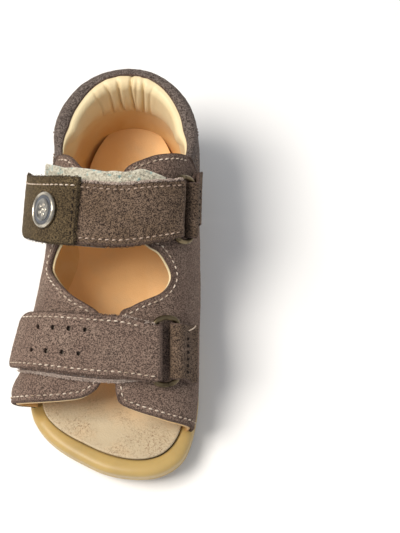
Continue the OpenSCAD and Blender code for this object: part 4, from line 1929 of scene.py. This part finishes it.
    def fold(self) -> Piece:
        """The half turn of the strap round the ring's outer bar.

        Returns:
            The object.
        """
        rim = self.lay.strap / 2
        angle, w = np.meshgrid(np.linspace(math.pi, 0, 17), self.across(rim), indexing="ij")
        radius = self.lay.fold + rim
        return leather_sheet(
            f"{self.label}_fold_suede",
            lambda off: self.round_bar(0.0, w, np.float64(self.lay.width), radius + off, angle), angle.shape,
            self.lay.strap, [self.face, self.finishes.edge], LONG_EDGES
        )

    def ring(self) -> Piece:
        """The wire ring: two straight bars joined by bowed ends.

        Returns:
            The object.
        """
        middle, bar, inward, out = self.axes
        straight = self.lay.width / 2 - 0.6
        bow = ((self.lay.ring_length - self.lay.wire) / 2 - straight) * self.worn_bow
        half = self.lay.pitch / 2
        arc = np.linspace(0, math.pi, 25)
        right = np.stack([straight + bow * np.sin(arc), half * np.cos(arc)], -1)
        left = np.stack([-straight - bow * np.sin(arc), -half * np.cos(arc)], -1)
        bars = np.linspace(0, 1, 12)[1:-1, None]
        flat = np.concatenate([right, mix(right[-1:], left[:1], bars), left, mix(left[-1:], right[:1], bars)])
        path = middle + inward * half + bar * flat[:, :1] + inward * flat[:, 1:]
        wear = self.lay.wire / 2 * 0.9 * (1 - 0.03 * np.sin(np.arange(len(path)) * 0.7))
        return tube(f"{self.label}_ring_wire", path, wear, self.finishes.brass, closed=True, flat=out)

    def tab_place(self, turn: Array, w: Array, off: Array) -> Array:
        """Middle of the folded tab: turn runs from -1 (lower arm's end) by the fold to 1 (upper arm's end).

        Args:
            turn: places along the tab.
            w: places across it.
            off: distances out from its middle.

        Returns:
            The points.
        """
        lay = self.lay
        r_middle = lay.fold + lay.tab / 2
        r = r_middle + off
        u_bar = self.ring_u + lay.pitch * self.u_per_mm
        top_width = lay.width - 0.2
        bend = self.tab_bend
        t = np.clip((np.abs(turn) - bend) / (1 - bend), 0, 1)
        sign = np.where(turn < 0, -1.0, 1.0)
        u = mix(u_bar, self.tab_end_u, t)
        here_y = self.centre_y(np.full_like(u, u_bar), 0.0)
        y = here_y + self.tab_sweep * t + (w - 0.5) * mix(top_width, self.tab_low_width, t)
        low = np.where(sign < 0, 0.35 + lay.tab / 2 - off, 0.35 + lay.tab + lay.gap + lay.tab / 2 + off)
        arm_off = mix(lay.bar + sign * r, low, ease(t / 0.7))
        start = self.round_bar(lay.pitch, w, np.float64(top_width), sign * r, np.zeros_like(r))
        surface = self.form.wall(1.0, here_y + (w - 0.5) * top_width, 1 - u_bar, lay.bar + sign * r)
        arm = self.form.wall(1.0, y, 1 - u, arm_off) + (start - surface) * (1 - ease(t / 0.8))[..., None]
        angle = math.pi * 1.5 + np.clip(turn / bend, -1, 1) * math.pi / 2
        bent = self.round_bar(lay.pitch, w, np.float64(top_width), r, angle)
        return np.where((np.abs(turn) < bend)[..., None], bent, arm)

    def tab(self) -> None:
        """The short folded tab that holds the ring, sewn down by its inner bar."""
        lay = self.lay
        rim = lay.tab / 2
        arm = mix(self.tab_bend, 1.0, spaced(13.0, 0.6, rim, start=False))
        turns = np.concatenate([-arm[::-1], np.linspace(-self.tab_bend, self.tab_bend, 15)[1:-1], arm])
        turn, w = np.meshgrid(turns, spaced(lay.width - 0.2, self.step, rim), indexing="ij")
        seam_turn = self.tab_bend + 0.37 * (1 - self.tab_bend)
        path = np.stack([np.full(120, seam_turn), np.linspace(0.1, 0.88, 120)], -1)
        rows = [SeamRow.on(lambda p, off: self.tab_place(p[:, 0], p[:, 1], off), path, rim)]
        made = leather_sheet(
            f"{self.label}_tab_suede", lambda off: self.tab_place(turn, w, off), turn.shape, lay.tab,
            [self.finishes.deep_suede, self.finishes.edge], rows=rows
        )
        install(made, "root", "suede", f"{self.label}_ring_tab")
        # The seam's near-black stitches are painted shade for the shaded stitch holes in the tab.
        sewn = Stitching(thread=0.95, stitch=1.15).sew(
            f"{self.label}_tab_stitches", rows, self.finishes.dark_thread_and_hole_shade
        )
        install(sewn, "root")
        if self.loose_end:
            last = rows[0].points[-1]
            side = unit(last - rows[0].points[-2])
            out = rows[0].normals[-1]
            down = unit(np.cross(side, out))
            bow = np.linspace(0, 1, 14)[:, None]
            lift = out * (0.3 + np.sin(bow * 3) * 0.7)
            path = last + side * bow * 1.6 - down * bow * 3.2 * self.loose_end + lift
            install(
                tube(f"{self.label}_loose_end", path, 0.24, self.finishes.thread, around=8, flat=out), "root"
            )

    def fringe(
        self, name: str, side: float, u_from: float, u_to: float, count: int, height: float,
        material: Material
    ) -> None:
        """Loose fibres along one long edge of the upper run.

        Args:
            name: the piece's name.
            side: the edge, 0 for the front one and 1 for the back one.
            u_from: where the fibres start.
            u_to: where they end.
            count: how many there are.
            height: how far they stand out.
            material: their material.
        """
        chance = np.random.default_rng(SEED + count)
        u = chance.uniform(u_to, u_from, count)
        off = self.lay.upper + chance.uniform(0.3, 1.5, count)
        roots = self.layer(u, np.full(count, side), off, 0.0)
        outside = self.layer(u, np.full(count, side + (0.1 if side > 0.5 else -0.1)), off + 1.2, 0.0)
        made = fibres(name, roots, unit(outside - roots), height, 1.1, 0.11, material, SEED + 1)
        install(made, f"{self.label}_flap", "suede")

    def pile(
        self, name: str, u_from: float, u_to: float, off: float, shift: float, density: float, height: float,
        material: Material, outwards: float = 1.0, w_from: float = 0.02
    ) -> Piece:
        """Fibres over one face of a tape.

        Args:
            name: the piece's name.
            u_from: where the pile starts.
            u_to: where it ends.
            off: distance of the tape's face from the upper.
            shift: 1 for a tape on the under run, 0 on the upper run.
            density: fibres per square millimetre.
            height: the fibres' height.
            material: their material.
            outwards: 1 for a face that looks out, -1 for one that looks in.
            w_from: the front limit of the pile.

        Returns:
            The object.
        """
        chance = np.random.default_rng(SEED + len(name))
        area = self.run_length(u_from, u_to, off) * self.lay.width * (1 - w_from)
        count = int(area * density)
        low, high = max(w_from, self.tape_span[0]), self.tape_span[1] - 0.015
        u, w = chance.uniform(u_to, u_from, count), chance.uniform(low, high, count)
        roots = self.layer(u, w, np.full(count, off), shift)
        above = self.layer(u, w, np.full(count, off + 1.0), shift)
        return fibres(name, roots, unit(above - roots) * outwards, height, 0.7, 0.07, material, SEED)

    def build(self) -> None:
        """Makes every layer of the strap and puts all but the bridge and the fold on the frame."""
        lay, f, root, ring, flap = self.lay, self.finishes, "root", f"{self.label}_ring", f"{self.label}_flap"
        strap = self.label
        base = self.strip(
            f"{strap}_base_suede", self.stop_u, self.base_end_u, lay.under + lay.strap / 2, lay.strap, 1.0,
            [self.face, f.cut_edge_painted_light], (Edge.END, Edge.LOW, Edge.HIGH)
        )
        install(base, root, "suede", f"{strap}_strap_base")
        chance = np.random.default_rng(SEED)
        place = chance.uniform(self.base_end_u, self.stop_u, 700)
        depth = lay.under + chance.uniform(0.1, 1.5, 700)
        roots = self.layer(place, np.zeros(700), depth, 1.0)
        ahead = self.layer(place, np.full(700, -0.06), depth + 0.5, 1.0)
        fuzz = fibres(
            f"{strap}_base_fringe", roots, unit(ahead - roots), 0.5, 1.0, 0.11, f.cut_edge_painted_light, SEED + 7
        )
        install(fuzz, root, "suede")
        bridge = self.strip(
            f"{strap}_bridge_suede", self.ring_u, self.stop_u, lay.under + lay.strap / 2, lay.strap, 1.0,
            [self.face, f.cut_edge_painted_light], LONG_EDGES
        )
        middle, _, _, out = self.axes
        start, end = self.at(self.stop_u, 0.5, lay.under), middle - out * (lay.fold + lay.strap)
        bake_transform(bridge)
        fold = self.fold()
        reach = out * (lay.fold + lay.strap)
        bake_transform(fold)
        upper = self.finish_flap(self.flap())
        install(upper, flap, "suede", f"{strap}_strap_flap")
        install(Stitching().sew(f"{strap}_flap_stitches", self.flap_rows(), self.thread or f.thread), flap)
        tape = self.strip(
            f"{strap}_loop_backing", self.stop_u - 0.02, self.loop_end_u, lay.loop + lay.tape / 2, lay.tape,
            1.0, [f.loop], texture=Texture(nap=0.12, wave=0.1), bulge=0.012, limits=self.tape_span
        )
        install(tape, root, "loop_tape", f"{strap}_loop_tape")
        pile = self.pile(
            f"{strap}_loop_pile", self.stop_u - 0.03, self.loop_end_u + 0.01, lay.loop + lay.tape, 1.0, 1.0,
            0.38, f.loop
        )
        install(pile, root, "loop_tape")
        edge_pile = self.pile(
            f"{strap}_loop_edge_pile", self.stop_u - 0.03, self.loop_end_u + 0.01, lay.loop + lay.tape, 1.0,
            2.2, 0.6, f.loop, w_from=0.75
        )
        install(edge_pile, root, "loop_tape")
        stop = self.end_u + 0.15
        self.fringe(f"{strap}_front_fringe", 0.0, self.ring_u - 0.01, stop, 300, 0.35, self.face)
        self.fringe(f"{strap}_back_fringe", 1.0, self.ring_u - 0.01, stop + self.slant, 301, 0.4, self.face)
        self.fringe(
            f"{strap}_pale_fringe", 1.0, self.ring_u - 0.01, self.ring_u - self.pale_reach, self.pale_fibres,
            0.8, f.cut_edge_painted_light
        )
        hooks = self.strip(
            f"{strap}_hook_backing", -0.05, self.hook_end_u, lay.hook + lay.tape / 2, lay.tape, 0.0, [f.hook],
            texture=Texture(nap=0.05, wave=0.05)
        )
        install(hooks, flap, "hook_tape", f"{strap}_hook_tape")
        pins = self.pile(
            f"{strap}_hook_pins", -0.06, self.hook_end_u + 0.01, lay.hook, 0.0, 1.4, 0.3, f.hook,
            outwards=-1.0
        )
        install(pins, flap, "hook_tape")
        install(self.ring(), ring, "antique_brass", f"{strap}_ring")
        self.tab()

    def finish_flap(self, upper: Piece) -> Piece:
        """What else is done to the upper run before it is put on the frame: nothing on a plain strap."""
        return upper


@dataclass(frozen=True)
class PerforatedStrap(Strap):
    """Strap whose free end has two rows of punched holes."""

    hole: float = 0.8
    holes: tuple = ((0.735, -0.414), (0.34, -0.449))
    hole_pitch_u: float = 0.0895
    count: int = 4

    def finish_flap(self, upper: Piece) -> Piece:
        """Punches the holes through the upper run.

        Args:
            upper: the upper run.

        Returns:
            The same object, with its holes.
        """
        chance = np.random.default_rng(SEED)
        tools = []
        for w, first in self.holes:
            for k in range(self.count):
                u = first + k * self.hole_pitch_u
                low, high = (
                    self.at(u, w, off) for off in (self.lay.upper - 0.6, self.lay.upper + self.lay.strap + 1)
                )
                path = mix(low, high, np.linspace(0, 1, 5)[:, None])
                size = self.hole * chance.uniform(0.85, 1.1)
                tools.append(
                    tube(
                        f"punch_{len(tools)}", path, size, self.finishes.edge, around=20,
                        flat=np.array([0.0, 1.0, 0.2])
                    )
                )
        bpy.context.view_layer.update()
        for tool in tools:
            cut = upper.modifiers.new("punch", "BOOLEAN")
            cut.operation, cut.solver, cut.object = "DIFFERENCE", "EXACT", tool
        evaluated = upper.evaluated_get(bpy.context.evaluated_depsgraph_get())
        punched = bpy.data.meshes.new_from_object(evaluated)
        upper.modifiers.clear()
        upper.data = punched
        for tool in tools:
            bpy.data.objects.remove(tool)
        return upper


@dataclass
class Badge:
    """The ankle strap's end patch, and the domed badge that is riveted through it."""

    strap: Strap
    finishes: Finishes
    diameter: float = 13.0
    patch: float = 1.4
    start_u: float = -0.222
    u: float = -0.41
    w: float = 0.48

    @property
    def patch_off(self) -> float:
        """Underside of the patch, over the upper."""
        return self.strap.lay.upper + self.strap.lay.strap + self.strap.lay.gap

    def place(self, off: float) -> Matrix:
        """Axes on the strap at the badge's middle, with Z outwards.

        Args:
            off: distance of the place from the upper.

        Returns:
            The axes as a matrix.
        """
        s = self.strap
        x = unit(s.at(self.u + 0.01, self.w, off) - s.at(self.u - 0.01, self.w, off))
        y = s.at(self.u, self.w + 0.02, off) - s.at(self.u, self.w - 0.02, off)
        y = unit(y - (y @ x) * x)
        turn = np.eye(4)
        turn[:3] = np.stack([x, y, np.cross(x, y), s.at(self.u, self.w, off)], 1)
        return Matrix(turn.tolist())

    def end_patch(self) -> None:
        """The dark suede patch over the strap's end, with a seam along its back edge."""
        s, f = self.strap, self.finishes
        rim = self.patch / 2
        w = mix(-0.05, 1.05, spaced(s.lay.width * 1.1, s.step, rim))
        length = s.run_length(self.start_u, s.end_u, self.patch_off)
        t = spaced(length, s.step, rim)
        edge = np.minimum(w + 0.05, 1.05 - w) * s.lay.width
        cut = np.clip((3.0 - edge) / 3.0, 0, 1)
        end = s.end_u - 0.015 + 0.06 * (1 - np.sqrt(1 - cut**2))
        u = mix(self.start_u + 0 * w, end, t[:, None])
        w = np.broadcast_to(w, u.shape)
        frayed = 0.0035 * ripple(np.stack([u * 0, w * 20, u * 0], -1), 0.9, 4.4)
        u = u + frayed * (t[:, None] < 0.02)
        surface: Surface = lambda p, off: s.point(p[:, 0], p[:, 1], off)
        back = np.stack([np.linspace(self.start_u - 0.02, s.end_u + 0.045, 200), np.full(200, 0.9)], -1)
        front = np.stack([np.full(120, self.start_u - 0.025), np.linspace(0.08, 0.85, 120)], -1)
        seam = SeamRow.on(surface, back, self.patch_off + self.patch)
        cross = SeamRow.on(surface, front, self.patch_off + self.patch)
        made = leather_sheet(
            "ankle_patch_suede", lambda off: s.point(u, w, self.patch_off + rim + off), u.shape, self.patch,
            [f.patch, f.patch_edge_shade], rows=[seam, cross]
        )
        install(made, "ankle_flap", "patch_suede", "ankle_end_patch")
        install(Stitching().sew("ankle_patch_stitches", [seam], f.thread), "ankle_flap")
        install(Stitching(thread=0.5).sew("ankle_patch_end_stitches", [cross], f.dark_thread_and_hole_shade), "ankle_flap")
        height = self.patch_off + self.patch * 0.7
        border = np.concatenate(self._border())
        rooted, above = (s.point(*border.T, np.full(len(border), level)) for level in (height, height + 1))
        fray = fibres("ankle_patch_fray", rooted, unit(above - rooted), 0.35, 1.0, 0.09, f.patch, SEED + 3)
        install(fray, "ankle_flap", "patch_suede")

    def _border(self) -> list[Array]:
        """Random places along the patch's edges, where loose fibres stand out.

        Returns:
            Places along the strap and across it, for each edge.
        """
        chance = np.random.default_rng(SEED + 2)
        end = self.strap.end_u + 0.03
        long_u = chance.uniform(end, self.start_u, 240)
        return [
            np.stack([long_u, np.where(np.arange(240) % 2, -0.045, 1.045)], -1),
            np.stack(
                [np.full(120, self.start_u) + chance.normal(0, 0.002, 120), chance.uniform(0, 1, 120)], -1
            )
        ]

    def badge(self) -> None:
        """The cast rim with its beaded edge, the enamelled dish and a plain rosette."""
        f, r = self.finishes, self.diameter / 2
        off = self.patch_off + self.patch + 0.1
        seat = self.place(off)
        rim = [
            (0, 0), (r - 0.35, 0), (r - 0.08, 0.12), (r, 0.45), (r - 0.04, 0.85), (r - 0.22, 1.25),
            (r - 0.5, 1.5), (r - 0.75, 1.55), (r - 1.0, 1.42), (r - 1.15, 1.15), (r - 1.2, 1.0), (0, 1.0)
        ]
        install(lathe("badge_rim_cast", rim, seat, f.silver), "ankle_flap", "antique_silver", "badge_rim")
        dish = r - 1.25
        inlay = [(0, 1.03), (dish, 1.03), (dish, 1.12), (dish * 0.85, 1.16), (dish * 0.4, 1.2), (0, 1.2)]
        install(
            lathe("badge_enamel_inlay", inlay, seat, f.enamel), "ankle_flap", "badge_enamel", "badge_inlay"
        )
        plate = [
            (0, 1.1), (dish * 0.76, 1.1), (dish * 0.76, 1.3), (dish * 0.7, 1.42), (dish * 0.62, 1.42),
            (dish * 0.58, 1.3), (0, 1.32)
        ]
        install(lathe("badge_medallion", plate, seat, f.dark_silver), "ankle_flap", "antique_silver")
        for k in range(6):
            reach = 0.0 if k == 5 else dish * 0.34
            angle = 2 * math.pi * k / 5
            spot = seat @ Matrix.Translation((reach * math.cos(angle), reach * math.sin(angle), 0))
            petal = [(0, 1.2), (0.78, 1.2), (0.76, 1.35), (0.55, 1.5), (0.3, 1.56), (0, 1.58)]
            install(
                lathe(f"badge_petal_{k}", petal, spot, f.silver, around=28), "ankle_flap", "antique_silver"
            )
        under = self.place(self.strap.lay.upper + 0.1)
        height = off - self.strap.lay.upper - 0.3
        post = [
            (0, 0), (3.2, 0), (3.2, 0.3), (3.0, 0.4), (1.3, 0.45), (1.3, height - 0.1), (1.1, height),
            (0, height)
        ]
        install(
            lathe("badge_rivet", post, under, f.silver, around=40), "ankle_flap", "antique_silver",
            "badge_post"
        )

    def build(self) -> None:
        """Makes the patch and the badge."""
        self.end_patch()
        self.badge()


# --- Stage ---


@dataclass(frozen=True)
class Studio:
    """Pale floor, soft lights and the camera."""

    eye: tuple[float, float, float] = (38.2, -154.3, 440.1)
    look: tuple[float, float, float] = (-0.01876, 0.3579, -0.9336)
    up: tuple[float, float, float] = (-0.0489, 0.9323, 0.3584)
    focal: float = 79.0
    floor_size: float = 6000.0

    def camera(self) -> None:
        """The camera, from above the toes."""
        data = bpy.data.cameras.new("camera")
        data.sensor_width, data.lens = 36.0, self.focal
        data.clip_start, data.clip_end = 0.01, 20.0
        camera = bpy.data.objects.new("camera", data)
        bpy.context.scene.collection.objects.link(camera)
        back = -Vector(self.look).normalized()
        right = Vector(self.up).cross(back).normalized()
        turn = Matrix((right, back.cross(right), back)).transposed().to_4x4()
        camera.matrix_world = Matrix.Translation(Vector(self.eye) * MM) @ turn
        bpy.context.scene.camera = camera

    def floor(self) -> None:
        """A large matt pale floor."""
        half = self.floor_size / 2
        corners = np.array(
            [[-half, -half, -0.3], [half, -half, -0.3], [half, half, -0.3], [-half, half, -0.3]]
        )
        material, tree, where = start_material("matt_paper_floor")
        fibre = add(tree, "TexNoise", sized(where, 1.5, Detail=3.0))
        end_material(tree, {"Base Color": linear("#f6f6f5"), "Roughness": 0.95}, fibre, 0.03, 0.2)
        mesh_object("floor", corners, [[0, 1, 2, 3]], [material])

    def light(
        self, name: str, place: tuple[float, float, float], size: float, power: float, tint: str
    ) -> None:
        """One square softbox that points at the sandal.

        Args:
            name: the light's name.
            place: where it is, in metres.
            size: the length of its side, in metres.
            power: its power, in watts.
            tint: its colour.
        """
        data = bpy.data.lights.new(name, "AREA")
        data.size, data.energy, data.color = size, power, linear(tint)[:3]
        lamp = bpy.data.objects.new(name, data)
        bpy.context.scene.collection.objects.link(lamp)
        lamp.location = place
        lamp.rotation_euler = (-Vector(place)).to_track_quat("-Z", "Y").to_euler()

    def world(self) -> None:
        """Even white surroundings."""
        world = bpy.data.worlds.new("studio")
        world.use_nodes = True
        back = world.node_tree.nodes["Background"]
        back.inputs["Color"].default_value = linear("#f4f6fa")
        back.inputs["Strength"].default_value = 0.45
        bpy.context.scene.world = world
        bpy.context.scene.view_settings.view_transform = "Standard"

    def build(self) -> None:
        """Makes the whole stage."""
        self.floor()
        self.world()
        self.light("key", (-0.5, -0.1, 0.95), 0.5, 12.5, "#fff9f1")
        self.light("fill", (0.7, -0.5, 0.7), 0.9, 0.6, "#eef3ff")


def main() -> None:
    """Builds the sandal piece by piece."""
    logging.basicConfig(level=logging.INFO, format="%(name)s: %(message)s")
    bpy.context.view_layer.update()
    studio = Studio()
    studio.camera()
    form, finishes = UpperForm(), Finishes()
    Sole(form, finishes).build()
    Upper(form, finishes).build()
    front = PerforatedStrap(
        "front", form, finishes, finishes.suede, ring_u=0.273, end_u=-0.675, ridge_y=-35.6,
        lateral_sweep=13.5, medial_sweep=0.0, base_shift=-0.4, span=19.4, slant=0.095, tab_low_width=20.2,
        tab_end_u=0.6, tab_sweep=3.7, hook_end_u=-0.52, row_starts=(0.005, 0.1), tape_span=(0.09, 0.98),
        corner=3.3, loose_end=-1.0
    )
    front.build()
    ankle = Strap(
        "ankle", form, finishes, finishes.deep_suede, ring_u=0.396, end_u=-0.72, ridge_y=6.1,
        lateral_sweep=31.0, medial_sweep=45.0, base_shift=5.0, span=20.6, slant=0.0, tab_low_width=19.2,
        tab_end_u=0.62, tab_sweep=6.2, hook_end_u=-0.68, row_starts=(0.01, 0.01), tape_span=(0.02, 1.03),
        shift_reach=0.24, pale_fibres=700, pale_reach=0.62, worn_bow=0.6, bow=(34.0, 21.5), end_lift=1.8,
        thread=finishes.worn_thread
    )
    ankle.build()
    Badge(ankle, finishes).build()
    studio.build()


if __name__ == "__main__":
    main()
